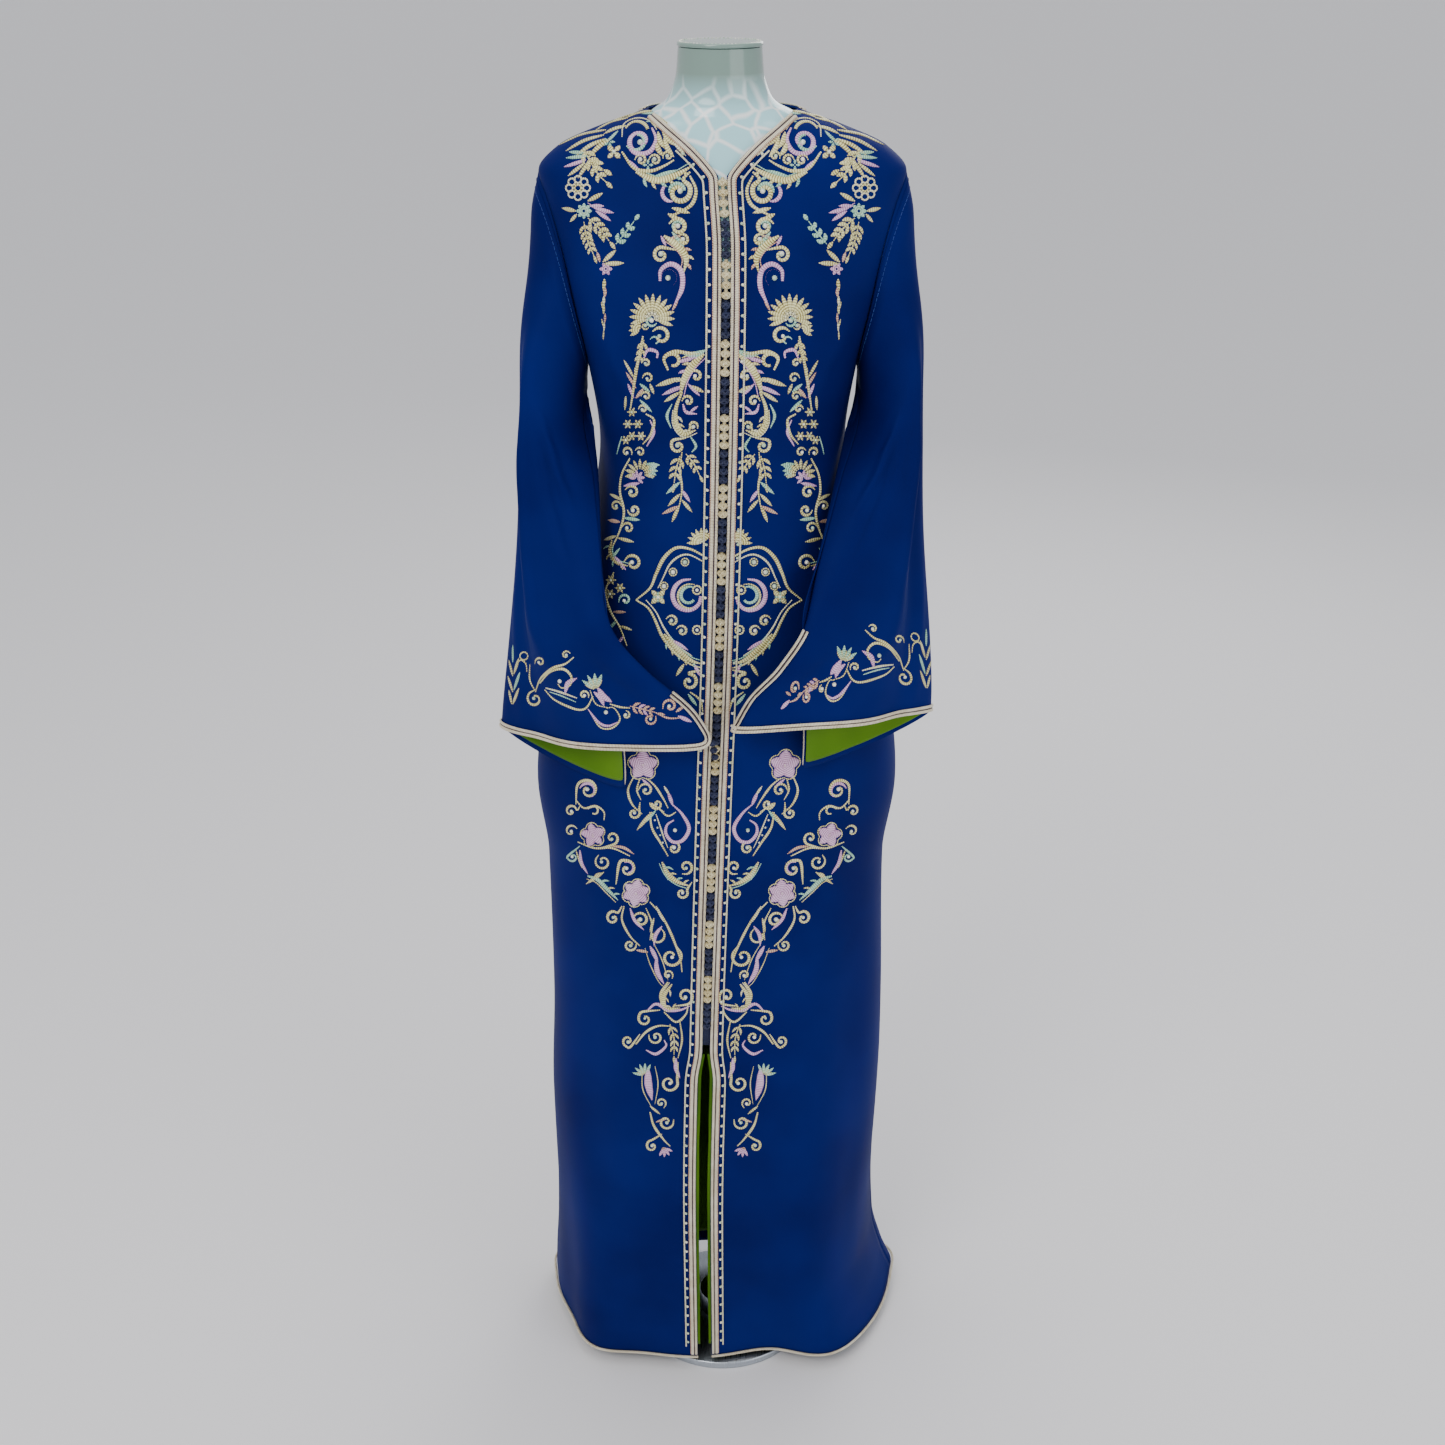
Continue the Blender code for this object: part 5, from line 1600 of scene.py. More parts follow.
def pearl(x, y, radius=2.0):
    hit = castOn(pen["surface"], *penPlace(x, y))
    if hit is None:
        return
    place, way = hit
    kept = stitched.setdefault((pen["surface"], "pearl"), {"points": [], "faces": [], "uvs": []})
    start, size = len(kept["points"]), radius * stitchSettings["pearl"]
    side = unit(np.cross(way, [0.3, 0.2, 0.9]))
    up = np.cross(way, side)
    for turn in (-0.3, 0.25, 0.75, 1.2):
        for k in range(8):
            angle = math.pi * k / 4
            across = size * math.cos(turn)
            centre = place + way * (size * math.sin(turn) + stitchSettings["pearl_lift"])
            kept["points"].append(centre + (side * math.cos(angle) + up * math.sin(angle)) * across)
    for i in range(3):
        for j in range(8):
            a, b = start + i * 8 + j, start + i * 8 + (j + 1) % 8
            kept["faces"].append((a, b, b + 8, a + 8))
            kept["uvs"] += [(0, 0), (1, 0), (1, 1), (0, 1)]
    kept["faces"].append(tuple(start + 24 + j for j in range(8)))
    kept["uvs"] += [(0.5, 0.5)] * 8


def curl(colour, cx, cy, radius, start, arc, width, inner=0.3, bulb=1, tail=None):
    # a coil from its outer end inwards; start and arc in degrees, arc > 0 is clockwise in the photograph
    turns = np.radians(start + np.linspace(0, 1, 30) * arc)
    radii = radius * (1 - (1 - inner) * np.linspace(0, 1, 30) ** 0.85)
    line = np.stack([cx + radii * np.cos(turns), cy + radii * np.sin(turns)], axis=1)
    if tail:
        line = np.vstack([[tail], line])
    stitch(through(line[::3], 1.5), [width * w for w in (0.35, 0.9, 1.0, 0.9, 0.7)], colour)
    if bulb:
        pearl(line[-1][0] * 0.4 + cx * 0.6, line[-1][1] * 0.4 + cy * 0.6, 1.9 * bulb)


def ring(colour, cx, cy, radius, width):
    turns = np.linspace(0, 2 * math.pi, max(9, int(radius * 3.2)))
    line = np.stack([cx + radius * np.cos(turns), cy + radius * np.sin(turns)], axis=1)
    stitch(line, [width], colour, closed=True)


def aimedLeaf(colour, x, y, turn, near, far, width, bend=0.0):
    # a leaf that points away from a middle
    ahead, over = math.cos(turn), math.sin(turn)
    leaf(colour, x + near * ahead, y + near * over, x + far * ahead, y + far * over, width, bend)


def petals(colour, cx, cy, inner, outer, count, width, first=0.0, reach=360.0, grow=0.0):
    for k in range(count):
        turn = math.radians(first + reach * k / (count if reach >= 360 else count - 1))
        far = outer * (1 + grow * math.sin(math.pi * k / max(count - 1, 1)))
        aimedLeaf(colour, cx, cy, turn, inner, far, width)


def loops(colour, cx, cy, reach, count, radius, width):
    for k in range(count):
        turn = 2 * math.pi * k / count
        ring(colour, cx + reach * math.cos(turn), cy + reach * math.sin(turn), radius, width)


def bloom(cx, cy, radius, count=5, first=20.0):
    # pink petals edged with gold
    for k in range(count):
        turn = math.radians(first + 360.0 * k / count)
        px, py = cx + radius * 0.55 * math.cos(turn), cy + radius * 0.55 * math.sin(turn)
        aimedLeaf("pink", cx, cy, turn, 0, radius, radius * 0.95)
        ends = np.radians(math.degrees(turn) + np.array([-75, -38, 0, 38, 75]))
        rim = [(px + radius * 0.50 * math.cos(e), py + radius * 0.50 * math.sin(e)) for e in ends]
        stem("gold", 1.5, *rim, ends=(0.7, 1.0, 0.7))
    leaf("gold", cx - 1, cy - 3, cx + 1, cy + 4, 3.0)


def spray(colour, points, count, length, width, spread=38.0, colours=None):
    # leaves in turn on both sides of a stem
    line = through(points, 1.0)
    stitch(line[::2], [1.0, 1.8, 1.0], colour)
    for k in range(count):
        share = 0.12 + 0.83 * k / count
        i = int(share * (len(line) - 2))
        way = math.atan2(*(line[i + 1] - line[i])[::-1])
        for side in (-1, 1):
            turn = way + side * math.radians(spread)
            size = length * (1 - 0.35 * share)
            kind = (colours or (colour,))[(2 * k + (side > 0)) % len(colours or (colour,))]
            aimedLeaf(kind, *line[i], turn, 0, size, width, 0.10 * side)
    way = math.atan2(*(line[-1] - line[-3])[::-1])
    aimedLeaf(colour, *line[-1], way, 0, length * 0.8, width)


def acanthus(points, width, body="gold", edge="mint", side=1, lobes=5):
    # a broad ribbed leaf with lobes along one side
    line = through(points, 1.2)
    stitch(line, [width * w for w in (0.3, 0.9, 1.0, 0.7, 0.15)], body, 1.4, True)
    for k in range(lobes):
        i = int((0.15 + 0.7 * k / max(lobes - 1, 1)) * (len(line) - 3)) + 1
        way = math.atan2(*(line[i + 1] - line[i - 1])[::-1])
        turn = way + side * math.radians(52)
        size = width * (1.45 - 0.12 * k)
        aimedLeaf(body if k % 2 else edge, *line[i], turn, 0, size, width * 0.42, 0.12 * side)
    offset = np.stack([-np.gradient(line)[0][:, 1], np.gradient(line)[0][:, 0]], axis=1)
    offset /= np.maximum(np.linalg.norm(offset, axis=1, keepdims=True), 1e-6)
    stitch(line - offset * side * width * 0.48, [1.0, 1.7, 1.0], edge)


def shoulderMotifs():
    for x0, y0, x1, y1 in (
        (606, 130, 559, 145), (604, 135, 566, 151), (606, 139, 577, 155), (612, 138, 588, 158),
        (628, 118, 596, 130), (640, 113, 610, 123), (652, 111, 626, 118), (626, 126, 604, 134),
    ):
        leaf("gold", x0, y0, x1, y1, 6.2, 0.06)
    for x0, y0, x1, y1 in ((664, 112, 642, 114), (662, 118, 646, 122), (618, 131, 606, 143)):
        leaf("mint", x0, y0, x1, y1, 4)
    spray("gold", ((583, 150), (592, 162), (604, 170)), 3, 12, 5)
    spray("gold", ((588, 158), (598, 174), (606, 182)), 3, 11, 4.8)
    for x0, y0, x1, y1, colour in (
        (588, 156, 566, 158, "mint"), (586, 160, 564, 167, "pink"), (585, 163, 568, 176, "gold"),
        (590, 160, 578, 178, "gold"), (584, 153, 569, 152, "mint"),
    ):
        leaf(colour, x0, y0, x1, y1, 4.6)
    loops("pale", 578, 188, 8.6, 8, 3.6, 2)
    ring("gold", 578, 188, 3.4, 2)
    leaf("gold", 588, 201, 603, 193, 5)
    leaf("gold", 576, 211, 562, 208, 4.5)
    leaf("gold", 577, 214, 570, 222, 4)
    petals("mint", 584, 211, 1.5, 8, 8, 4.4)
    ring("gold", 584, 211, 3, 1.6)
    for x0, y0, x1, y1 in ((590, 206, 604, 206), (594, 208, 614, 213), (596, 211, 611, 221)):
        leaf("pink", x0, y0, x1, y1, 4.2)
    stem("pink", 1.6, (588, 203), (596, 208), (606, 214))
    spray("gold", ((588, 218), (600, 229), (610, 242)), 4, 11, 4.6)
    spray("gold", ((584, 222), (587, 238), (594, 256)), 5, 10, 3.8)
    spray("mint", ((616, 244), (626, 232), (635, 220)), 3, 9, 4.8)
    leaf("gold", 603, 262, 616, 250, 5.2)
    leaf("gold", 604, 264, 624, 263, 5)
    leaf("rose", 600, 262, 597, 252, 4)
    petals("pink", 606, 269, 1, 6.5, 6, 4)
    ring("gold", 606, 269, 2.4, 1.3)
    for k in range(7):
        y = 279 + k * 8.6
        x = 604.5 + 0.8 * math.sin(k * 1.9)
        leaf(("gold", "rose", "pale")[k % 3], x, y, x - 0.4, y + 9.5, 4.6 - 0.45 * k)
        if k % 2:
            leaf("gold", x - 2.6, y - 3, x - 0.8, y + 5, 2)
    petals("gold", 614, 152, 1.5, 8.5, 4, 6, 45)
    pearl(614, 152, 1.8)
    petals("mint", 609, 142, 1, 6, 5, 3.2)


def neckMotifs():
    curl("pink", 640, 141, 17.5, -40, 480, 5.4, 0.22, 1.4, tail=(652, 128))
    curl("mint", 637, 140, 12, 150, -250, 4, 0.4, 0)
    curl("gold", 638, 133, 13, 200, 150, 4.6, 0.8, 0)
    stem("pale", 2.2, (622, 137), (624, 124), (637, 118), (650, 121), (657, 130))
    for x0, y0, x1, y1 in (
        (650, 118, 662, 128), (655, 114, 670, 126), (660, 122, 675, 136), (662, 130, 677, 146),
        (664, 138, 674, 157), (658, 132, 664, 148), (656, 142, 663, 156),
    ):
        leaf("gold", x0, y0, x1, y1, 5.6, 0.08)
    leaf("pale", 668, 128, 684, 146, 4.4)
    leaf("pale", 672, 140, 686, 156, 4)
    stem("gold", 4.2, (622, 152), (634, 168), (650, 171), (664, 166), (674, 160))
    curl("gold", 641, 160, 6.2, 180, 400, 2.8, 0.35, 1.1)
    curl("gold", 655, 160, 6.2, 180, 400, 2.8, 0.35, 1.1)
    curl("gold", 668, 156, 5.5, 150, 380, 2.6, 0.35, 1)
    petals("mint", 648, 165, 1, 5.5, 4, 3)
    leaf("pink", 628, 160, 641, 173, 4)
    acanthus(((636, 172), (656, 180), (674, 176), (692, 166)), 8, "gold", "mint", 1, 6)
    leaf("mint", 652, 178, 676, 170, 4.2)
    curl("gold", 679, 192, 14.5, -100, 420, 5.6, 0.25, 1.4, tail=(690, 172))
    curl("mint", 678, 191, 9, 170, 200, 4, 0.7, 0)
    curl("pink", 671, 192, 9.5, 80, 150, 4.2, 0.9, 0)
    stem("gold", 4.2, (690, 176), (696, 190), (692, 204), (680, 212), (670, 216))
    leaf("gold", 668, 214, 680, 220, 5)
    leaf("gold", 672, 208, 690, 213, 5)
    curl("gold", 678, 227, 9.5, 200, 420, 4.6, 0.3, 1.3)
    curl("mint", 678, 226, 5.8, 120, 230, 2.6, 0.7, 0)
    curl("gold", 683, 240, 6.4, 220, 420, 3.2, 0.3, 1.1)
    leaf("mint", 672, 232, 684, 247, 4)
    acanthus(((664, 236), (678, 246), (686, 258), (684, 272)), 8, "gold", "rose", -1, 5)
    curl("gold", 661, 255, 9, -30, -420, 4, 0.3, 1.4, tail=(676, 250))
    leaf("pink", 661, 236, 666, 246, 3.4)
    curl("pink", 668, 277, 10, 60, -260, 0.1, 0.6, 0)
    stem("pink", 5.4, (660, 281), (661, 270), (671, 264), (681, 271), (682, 288), (673, 308),
         ends=(0.5, 0.9, 1, 0.9, 0.2))
    pearl(668, 278, 2.6)
    leaf("rose", 678, 300, 672, 311, 3)


def chestMotifs():
    petals("gold", 652, 318, 6, 22, 13, 5, 165, 215, 0.12)
    petals("pale", 652, 318, 2, 9, 7, 3, 160, 220)
    curl("mint", 651, 321, 6, 20, 300, 2.8, 0.4, 1.2)
    curl("gold", 645, 326, 4, 20, 300, 2, 0.4, 0.9)
    petals("gold", 640, 330, 1, 11, 5, 4.2, 150, 110)
    curl("gold", 661, 336, 9.5, -150, 330, 4.2, 0.4, 1)
    curl("mint", 655, 341, 5, 200, 250, 2.2, 0.5, 0)
    stem("pink", 4, (644, 358), (648, 350), (657, 352), (657, 358), ends=(0.4, 1, 0.5))
    stem("gold", 4, (643, 336), (640, 352), (636, 372), (633, 392), (630, 412))
    spray("gold", ((644, 340), (641, 354), (637, 366)), 3, 9, 3.6, 34)
    leaf("gold", 634, 378, 624, 360, 3.6)
    leaf("rose", 636, 388, 626, 372, 3.6)
    for x, y, r in ((646, 363, 4.5), (648, 378, 5.5), (646, 396, 5), (643, 409, 4.5)):
        curl("gold", x, y, r, 180, 330, 2.8, 0.4, 0.8)
    for x0, y0, x1, y1, colour in (
        (640, 384, 650, 392, "mint"), (628, 384, 634, 398, "pink"), (640, 400, 652, 412, "mint"),
        (626, 396, 625, 410, "gold"), (636, 398, 644, 388, "rose"), (650, 384, 654, 394, "gold"),
    ):
        leaf(colour, x0, y0, x1, y1, 4)
    for x, y in ((632, 412), (628, 424), (638, 424), (632, 436), (641, 436), (626, 440)):
        petals("gold", x, y, 0.6, 5, 6, 2.8)
        pearl(x, y, 1.3)
    stem("gold", 3.6, (646, 414), (654, 420), (651, 434), (643, 444))
    stem("pink", 3.4, (650, 420), (654, 432), (647, 446), ends=(0.4, 1, 0.4))
    stem("mint", 2, (622, 436), (619, 446), (617, 454))
    curl("gold", 627, 452, 5.5, 30, -330, 3, 0.4, 0.9)
    curl("gold", 640, 452, 5, 200, 330, 2.8, 0.4, 0.9)
    petals("gold", 640, 474, 5, 15, 9, 4.6, 170, 200)
    petals("pink", 637, 478, 1, 8, 6, 3.8, 180, 220)
    petals("mint", 648, 470, 1, 10, 5, 4, -50, 110)
    leaf("mint", 646, 464, 660, 465, 4.2)
    stem("gold", 4.2, (630, 458), (622, 474), (620, 492), (624, 512), (620, 530), (612, 548))
    curl("gold", 632, 492, 7, 200, 380, 3.8, 0.35, 1.1)
    curl("gold", 634, 510, 6.5, 180, -380, 3.6, 0.35, 1.1)
    curl("gold", 616, 506, 5.5, 0, -360, 3, 0.35, 0.9)
    curl("gold", 628, 528, 6, 190, 360, 3.2, 0.35, 1)
    for x0, y0, x1, y1, colour in (
        (624, 486, 640, 483, "pink"), (622, 500, 610, 494, "gold"), (624, 518, 640, 520, "mint"),
        (620, 522, 608, 520, "rose"), (616, 536, 604, 540, "gold"), (618, 538, 634, 542, "gold"),
    ):
        leaf(colour, x0, y0, x1, y1, 4.4)
    acanthus(((612, 540), (610, 552), (616, 562), (628, 566)), 5.5, "gold", "mint", 1, 4)
    curl("gold", 633, 563, 9, 190, 400, 4, 0.3, 1.2)
    leaf("pink", 614, 556, 626, 570, 5)
    leaf("mint", 620, 548, 610, 560, 3.6)
    for x, y in ((611, 580), (620, 588), (610, 594)):
        petals("gold", x, y, 0.6, 5.4, 6, 3)
        pearl(x, y, 1.4)
    curl("mint", 625, 600, 6.5, 160, 340, 3.2, 0.35, 1)
    stem("gold", 3.4, (614, 572), (606, 590), (610, 610), (620, 628), (627, 646))
    for x0, y0, x1, y1, colour in (
        (609, 604, 600, 612, "gold"), (613, 612, 626, 612, "rose"), (617, 620, 608, 630, "mint"),
        (620, 626, 632, 630, "gold"), (624, 636, 617, 644, "pink"),
    ):
        leaf(colour, x0, y0, x1, y1, 3.8)


def innerMotifs():
    leaf("mint", 684, 354, 706, 350, 6.5, 0.12)
    leaf("gold", 682, 358, 704, 353, 3, -0.1)
    stem("gold", 4.6, (668, 370), (664, 358), (674, 352), (688, 353), (700, 354))
    curl("gold", 673, 361, 8.5, -170, 300, 4.2, 0.5, 0)
    acanthus(((704, 354), (692, 366), (684, 380), (680, 396)), 8, "gold", "pink", 1, 5)
    leaf("pink", 678, 362, 694, 358, 4.2)
    leaf("gold", 680, 378, 656, 386, 5.6)
    leaf("pink", 682, 386, 662, 395, 4.4)
    leaf("gold", 680, 392, 664, 402, 4.4)
    curl("gold", 696, 376, 6.5, -160, 340, 3.4, 0.35, 1)
    leaf("gold", 690, 386, 704, 392, 4.8)
    leaf("pink", 688, 384, 700, 396, 3.8)
    stem("gold", 4.6, (682, 392), (676, 408), (676, 422), (684, 432))
    stem("mint", 3.6, (672, 404), (667, 416), (671, 428), ends=(0.3, 1, 0.3))
    curl("gold", 688, 401, 6, 180, 340, 3.2, 0.35, 1)
    stem("pink", 4, (683, 404), (686, 412), (697, 414), ends=(0.4, 1, 0.25))
    leaf("pink", 690, 412, 698, 406, 3)
    acanthus(((676, 410), (676, 424), (684, 434), (696, 430)), 6.6, "gold", "pale", -1, 4)
    curl("gold", 693, 426, 5.2, 30, -340, 3, 0.35, 1)
    curl("gold", 678, 446, 8, -100, -380, 3.8, 0.3, 1.2, tail=(686, 438))
    stem("mint", 3.2, (690, 436), (696, 446), (692, 452), ends=(0.4, 1, 0.4))
    stem("gold", 2.6, (682, 452), (680, 470), (682, 490), (678, 512))
    spray("gold", ((680, 456), (676, 470), (674, 484)), 3, 11, 3.8, 40)
    spray("gold", ((686, 454), (694, 464), (700, 476)), 3, 9, 3.6, 40)
    leaf("mint", 680, 482, 666, 494, 4.2)
    leaf("pink", 682, 490, 690, 502, 4.2)
    leaf("gold", 680, 494, 668, 506, 4.4)
    leaf("gold", 682, 500, 692, 512, 4.2)
    leaf("rose", 679, 506, 662, 514, 4.4)
    leaf("gold", 678, 508, 672, 522, 4.2)


def medallionMotifs():
    petals("gold", 702, 543, 2, 15, 7, 4.6, 180, 130)
    petals("pale", 702, 543, 1, 8, 5, 3, 180, 130)
    stem("gold", 4.4, (704, 556), (690, 549), (676, 548), (664, 558), (656, 574), (650, 588), (636, 600))
    stem("pale", 2.6, (704, 562), (690, 555), (680, 556), (670, 564), (663, 578), (658, 588))
    for x, y in ((685, 562), (673, 572), (664, 586)):
        pearl(x, y, 2.4)
        ring("gold", x, y, 3.8, 1.5)
    stem("gold", 4, (636, 600), (648, 608), (655, 620), (662, 636), (674, 652), (690, 664), (702, 668))
    stem("pale", 2.4, (646, 600), (656, 612), (664, 628), (676, 644), (692, 656))
    petals("gold", 658, 597, 1.5, 9, 4, 6.2, 45)
    petals("mint", 658, 597, 1, 5.5, 4, 2.6, 0)
    pearl(658, 597, 1.8)
    curl("pink", 688, 596, 17, -80, -300, 5.4, 0.75, 0)
    curl("mint", 689, 596, 10, -60, -280, 4, 0.6, 0)
    curl("gold", 690, 597, 13.4, -70, -290, 2.6, 0.8, 0)
    ring("gold", 697, 590, 4.2, 2.2)
    ring("gold", 697, 630, 4.2, 2.2)
    pearl(697, 590, 1.8)
    pearl(697, 630, 1.8)
    curl("gold", 672, 621, 6.2, 200, 380, 3.2, 0.35, 1.1)
    curl("gold", 682, 631, 6, 200, 380, 3, 0.35, 1.1)
    acanthus(((664, 634), (676, 648), (690, 660), (702, 664)), 7, "gold", "mint", 1, 5)
    leaf("pink", 672, 640, 688, 650, 4.4)
    curl("gold", 689, 682, 9.5, -120, 400, 4.2, 0.3, 1.1, tail=(702, 670))
    leaf("gold", 684, 664, 676, 676, 4.4)
    leaf("pink", 694, 664, 700, 676, 4)
    leaf("mint", 688, 694, 697, 706, 4)
    stem("gold", 3, (690, 692), (700, 700), (703, 712))


def skirtInnerMotifs():
    bloom(643, 765, 15, 5, -90)
    stem("gold", 3, (646, 778), (655, 786), (664, 800), (668, 808))
    stem("gold", 3.2, (634, 776), (628, 790), (632, 804), (642, 814))
    stem("gold", 2.6, (640, 778), (637, 790), (641, 800))
    curl("gold", 646, 790, 7.5, 180, 400, 3.2)
    curl("gold", 634, 813, 6.8, -60, 380, 3.2, tail=(640, 802))
    leaf("pink", 642, 779, 652, 788, 3.6)
    curl("gold", 657, 804, 6.6, -150, -360, 3.2, tail=(664, 812))
    leaf("pink", 668, 792, 673, 806, 4.4)
    leaf("pale", 664, 786, 670, 796, 3)
    stem("pink", 4.6, (672, 804), (682, 814), (689, 828), (683, 840), (673, 842), (666, 834), (667, 825),
         (674, 820), ends=(0.3, 0.9, 1, 0.9, 0.4))
    pearl(675, 830, 2.2)
    stem("gold", 2.6, (660, 810), (668, 816), (676, 812))
    leaf("gold", 652, 812, 637, 830, 4.6)
    leaf("mint", 656, 810, 646, 822, 3.4)
    stem("gold", 3.4, (650, 812), (652, 828), (660, 842), (668, 856))
    stem("pale", 2.2, (656, 814), (660, 826), (664, 838), (668, 848))
    for k in range(4):
        pearl(655 + 2.6 * k, 820 + 7.5 * k, 1.1)
    curl("gold", 674, 848, 6.8, -100, 380, 3.2, 0.3, 1.2)
    acanthus(((662, 862), (668, 874), (678, 882), (690, 886)), 6.4, "gold", "mint", -1, 4)
    curl("gold", 686, 867, 7.8, 120, -400, 3.6)
    curl("gold", 682, 893, 6.8, -60, 380, 3.4, tail=(692, 882))
    leaf("mint", 664, 864, 668, 880, 4.4)


def skirtUpperMotifs():
    curl("gold", 588, 790, 12.5, 170, 440, 3.8, 0.22, 1.2, tail=(576, 804))
    curl("pink", 588, 791, 8.6, 200, 230, 4, 0.7, 0)
    curl("gold", 571, 811, 6.8, 20, -380, 3.2, tail=(580, 806))
    stem("gold", 3.2, (576, 800), (584, 808), (596, 806), (604, 812), (604, 820))
    curl("gold", 594, 811, 6, 200, 300, 2.8, 0.4, 0)
    bloom(593, 835, 12, 5, -100)
    curl("gold", 571, 831, 6.6, -20, -330, 3)
    curl("gold", 612, 838, 7.4, 110, -380, 3.4, tail=(600, 848))
    curl("mint", 573, 857, 5.8, -150, -330, 3, tail=(580, 846))
    stem("gold", 3.2, (578, 842), (594, 848), (612, 848), (630, 856))
    leaf("rose", 612, 846, 634, 854, 4, -0.1)
    leaf("pink", 580, 850, 588, 874, 5.2, 0.1)
    leaf("gold", 576, 850, 582, 868, 3)
    curl("gold", 603, 862, 8.4, -120, -400, 3.2, 0.4, 1)
    curl("gold", 627, 869, 10.5, -170, 420, 4, 0.24, 1.1, tail=(616, 884))
    curl("pink", 628, 868, 6.6, -120, 220, 3.2, 0.7, 0)
    acanthus(((588, 876), (598, 880), (608, 890), (618, 900)), 6.6, "mint", "gold", -1, 4)
    leaf("gold", 604, 872, 586, 884, 4.4)
    bloom(636, 893, 13.5, 6, -80)
    curl("gold", 613, 918, 8, -20, -400, 3.8, tail=(622, 906))
    stem("gold", 3.4, (624, 906), (622, 920), (630, 936), (640, 946))
    curl("gold", 641, 920, 8.4, 190, 400, 3.6, 0.3, 1.3)
    leaf("pink", 630, 908, 644, 930, 4.4, 0.1)
    curl("gold", 630, 945, 6.8, -20, 400, 3.2, 0.3, 1.1)


def skirtLowerMotifs():
    stem("gold", 3.4, (650, 902), (662, 916), (672, 936), (680, 958), (682, 972))
    stem("gold", 2.4, (646, 908), (652, 924), (650, 940))
    leaf("pale", 656, 906, 664, 922, 3.6)
    leaf("gold", 654, 918, 650, 932, 3.4)
    leaf("pink", 662, 926, 654, 946, 4.6, 0.12)
    curl("gold", 657, 936, 8.5, -60, 300, 3, 0.5, 0)
    curl("gold", 671, 957, 12, -60, 420, 4, 0.26, 1.1)
    leaf("pink", 650, 946, 658, 962, 5.4)
    leaf("rose", 648, 952, 636, 950, 4)
    leaf("pink", 656, 958, 664, 984, 6.2, 0.1)
    stem("gold", 1.6, (645, 948), (650, 964), (659, 982), (666, 988))
    stem("gold", 1.6, (654, 944), (662, 960), (668, 980))
    curl("gold", 668, 975, 5.4, 40, -380, 2.8)
    stem("gold", 4.8, (668, 982), (661, 994), (664, 1006), (672, 1010))
    acanthus(((672, 984), (664, 996), (666, 1008), (680, 1008)), 5.6, "gold", "pale", -1, 4)
    curl("gold", 685, 996, 9.4, 100, -400, 3.8, 0.28, 1.2, tail=(674, 1006))
    stem("pink", 4.6, (646, 1012), (656, 1004), (668, 1010), (680, 1010), (690, 1006),
         ends=(0.3, 1, 0.9, 0.3))
    curl("gold", 645, 1019, 8.2, -80, -380, 3.6, 0.3, 0.8, tail=(660, 1010))
    stem("gold", 3.4, (664, 1012), (676, 1022), (686, 1014), (688, 1004))
    curl("gold", 628, 1041, 6.8, 40, 380, 3.4, 0.3, 1.2, tail=(640, 1034))
    stem("gold", 3.6, (636, 1044), (646, 1032), (658, 1026), (670, 1026))
    curl("gold", 656, 1037, 7.6, -160, -380, 3.2, 0.3, 1.1)
    stem("pink", 4.4, (646, 1050), (656, 1054), (666, 1046), (664, 1040), ends=(0.3, 1, 0.8, 0.3))
    spray("gold", ((670, 1024), (674, 1038), (674, 1056)), 4, 9, 3.2, 32)
    stem("gold", 2.8, (680, 1022), (682, 1040), (678, 1058))
    petals("mint", 645, 1076, 3, 13, 5, 3.6, 195, 100)
    petals("gold", 645, 1076, 2, 9, 4, 2.2, 205, 85)
    leaf("pink", 648, 1068, 652, 1100, 9.5, 0.05)
    stem("gold", 1.6, (642, 1072), (643, 1090), (652, 1108))
    stem("gold", 1.6, (655, 1066), (658, 1084), (655, 1104))
    leaf("pink", 676, 1058, 680, 1078, 5.4, 0.1)
    curl("gold", 669, 1083, 10.4, -60, 420, 3.8, 0.28, 1.1, tail=(678, 1062))
    curl("gold", 661, 1103, 5.6, 60, -380, 2.8)
    stem("gold", 3.8, (650, 1112), (654, 1126), (664, 1140), (670, 1146))
    leaf("gold", 650, 1106, 660, 1114, 3.4)
    curl("gold", 666, 1122, 8.2, -20, 400, 3.4, 0.3, 1.1)
    leaf("rose", 656, 1122, 668, 1118, 3.4)
    curl("gold", 652, 1146, 6.8, -60, -380, 3.4, 0.3, 1.1, tail=(662, 1134))
    petals("pink", 664, 1148, 1, 9, 4, 4.2, 20, 100)
    petals("rose", 663, 1147, 0.5, 5, 3, 2, 30, 80)


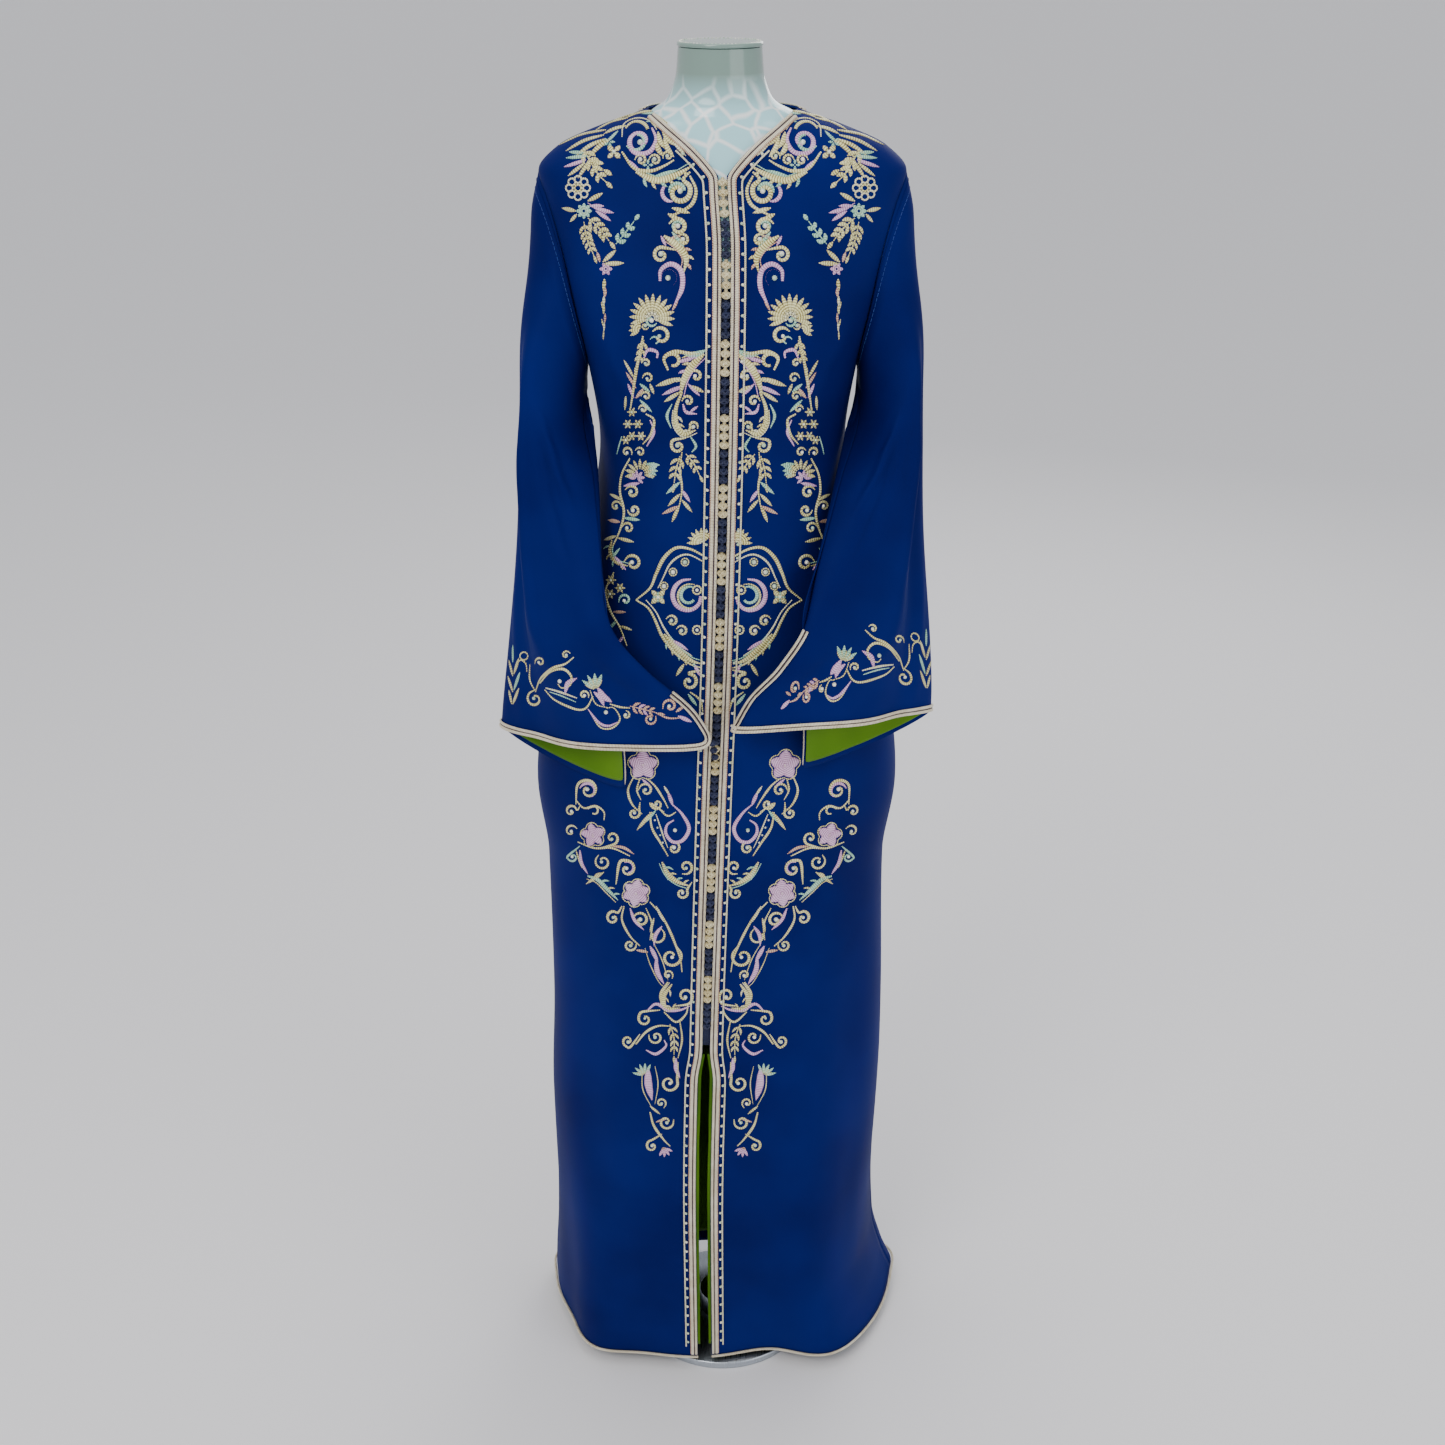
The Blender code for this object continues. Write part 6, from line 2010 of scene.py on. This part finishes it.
def cuffMotifs():
    for x0, y0, x1, y1, colour in (
        (512, 704, 509, 690, "gold"), (513, 704, 519, 688, "gold"), (513, 692, 508, 676, "gold"),
        (514, 690, 520, 672, "mint"), (513, 676, 509, 660, "gold"), (514, 674, 519, 658, "gold"),
        (513, 662, 513, 645, "mint"),
    ):
        leaf(colour, x0, y0, x1, y1, 4.4)
    ring("gold", 524, 656, 4, 1.8)
    stem("gold", 2.2, (516, 664), (521, 660), (526, 664), (527, 672))
    stem("gold", 2.8, (536, 692), (530, 680), (530, 664))
    curl("gold", 540, 662, 5.2, 160, 380, 2.6, 0.3, 0.9)
    stem("gold", 3.4, (536, 690), (541, 678), (553, 668), (565, 664), (574, 657))
    curl("gold", 566, 655, 4.6, -20, -340, 2.4, 0.3, 0.9)
    stem("gold", 3.4, (540, 683), (550, 672), (563, 669), (571, 676), (570, 685), (562, 688), (558, 684))
    pearl(560, 681, 2.2)
    leaf("pink", 565, 694, 577, 678, 5.6, -0.2)
    curl("gold", 535, 699, 9, -90, -400, 3.4)
    stem("gold", 3.4, (545, 690), (555, 700), (575, 709), (586, 708), (593, 696))
    curl("gold", 584, 695, 5.2, 30, -360, 2.6, 0.3, 0.9)
    stem("pale", 3.2, (546, 688), (560, 692), (577, 698))
    stem("mint", 2.2, (550, 692), (562, 696), (576, 702))
    leaf("pink", 598, 688, 612, 702, 8, 0.1)
    leaf("pink", 594, 692, 604, 706, 6, -0.1)
    petals("mint", 596, 690, 3, 17, 4, 4.4, 215, 75)
    petals("gold", 596, 690, 2, 12, 5, 3, 205, 95)
    stem("gold", 1.6, (590, 690), (596, 704), (610, 708))
    stem("gold", 2.8, (610, 704), (620, 707), (630, 708))
    stem("pink", 3.6, (588, 709), (598, 722), (608, 726), (618, 722), ends=(0.3, 1, 0.9, 0.3))
    stem("gold", 2.4, (590, 712), (600, 727), (612, 728), (620, 719), (614, 708), (606, 708))
    pearl(606, 712, 2.2)
    curl("gold", 626, 715, 4.4, -90, 340, 2.4, 0.3, 0.9)
    spray("rose", ((630, 706), (642, 709), (658, 713)), 4, 9, 3.4, 40, colours=("rose", "rose", "pink"))
    curl("rose", 650, 719, 6.6, -30, 380, 2.8, 0.3, 0.9)
    curl("rose", 670, 706, 7.6, 160, 380, 3.2)
    stem("rose", 2.8, (656, 713), (668, 718), (680, 718))
    leaf("pink", 678, 716, 692, 722, 4.6)
    leaf("rose", 676, 712, 684, 706, 3.6)


def buildEmbroidery():
    body = (shoulderMotifs, neckMotifs, chestMotifs, innerMotifs, medallionMotifs, skirtInnerMotifs,
            skirtUpperMotifs, skirtLowerMotifs)
    for mirror, front, sleeve in ((False, "front_right", "sleeve_right"),
                                  (True, "front_left", "sleeve_left")):
        pen.update(mirror=mirror, part="body", surface=front)
        for motifs in body:
            motifs()
        pen.update(part="cuff", surface=sleeve)
        cuffMotifs()
    names = sorted({surface for surface, _ in stitched})
    for surface in names:
        pieces = []
        for (where, colour), kept in sorted(stitched.items()):
            if where != surface:
                continue
            points = [tuple(p) for p in kept["points"]]
            mesh = meshWith("stitches", points, kept["faces"], kept["uvs"], threadKinds[colour])
            mesh.shade_smooth()
            pieces.append(linked("stitches", mesh))
        piece = joinPieces(f"embroidery_{surface}", pieces)
        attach(piece, "root")


buildEmbroidery()
print("embroidery made")
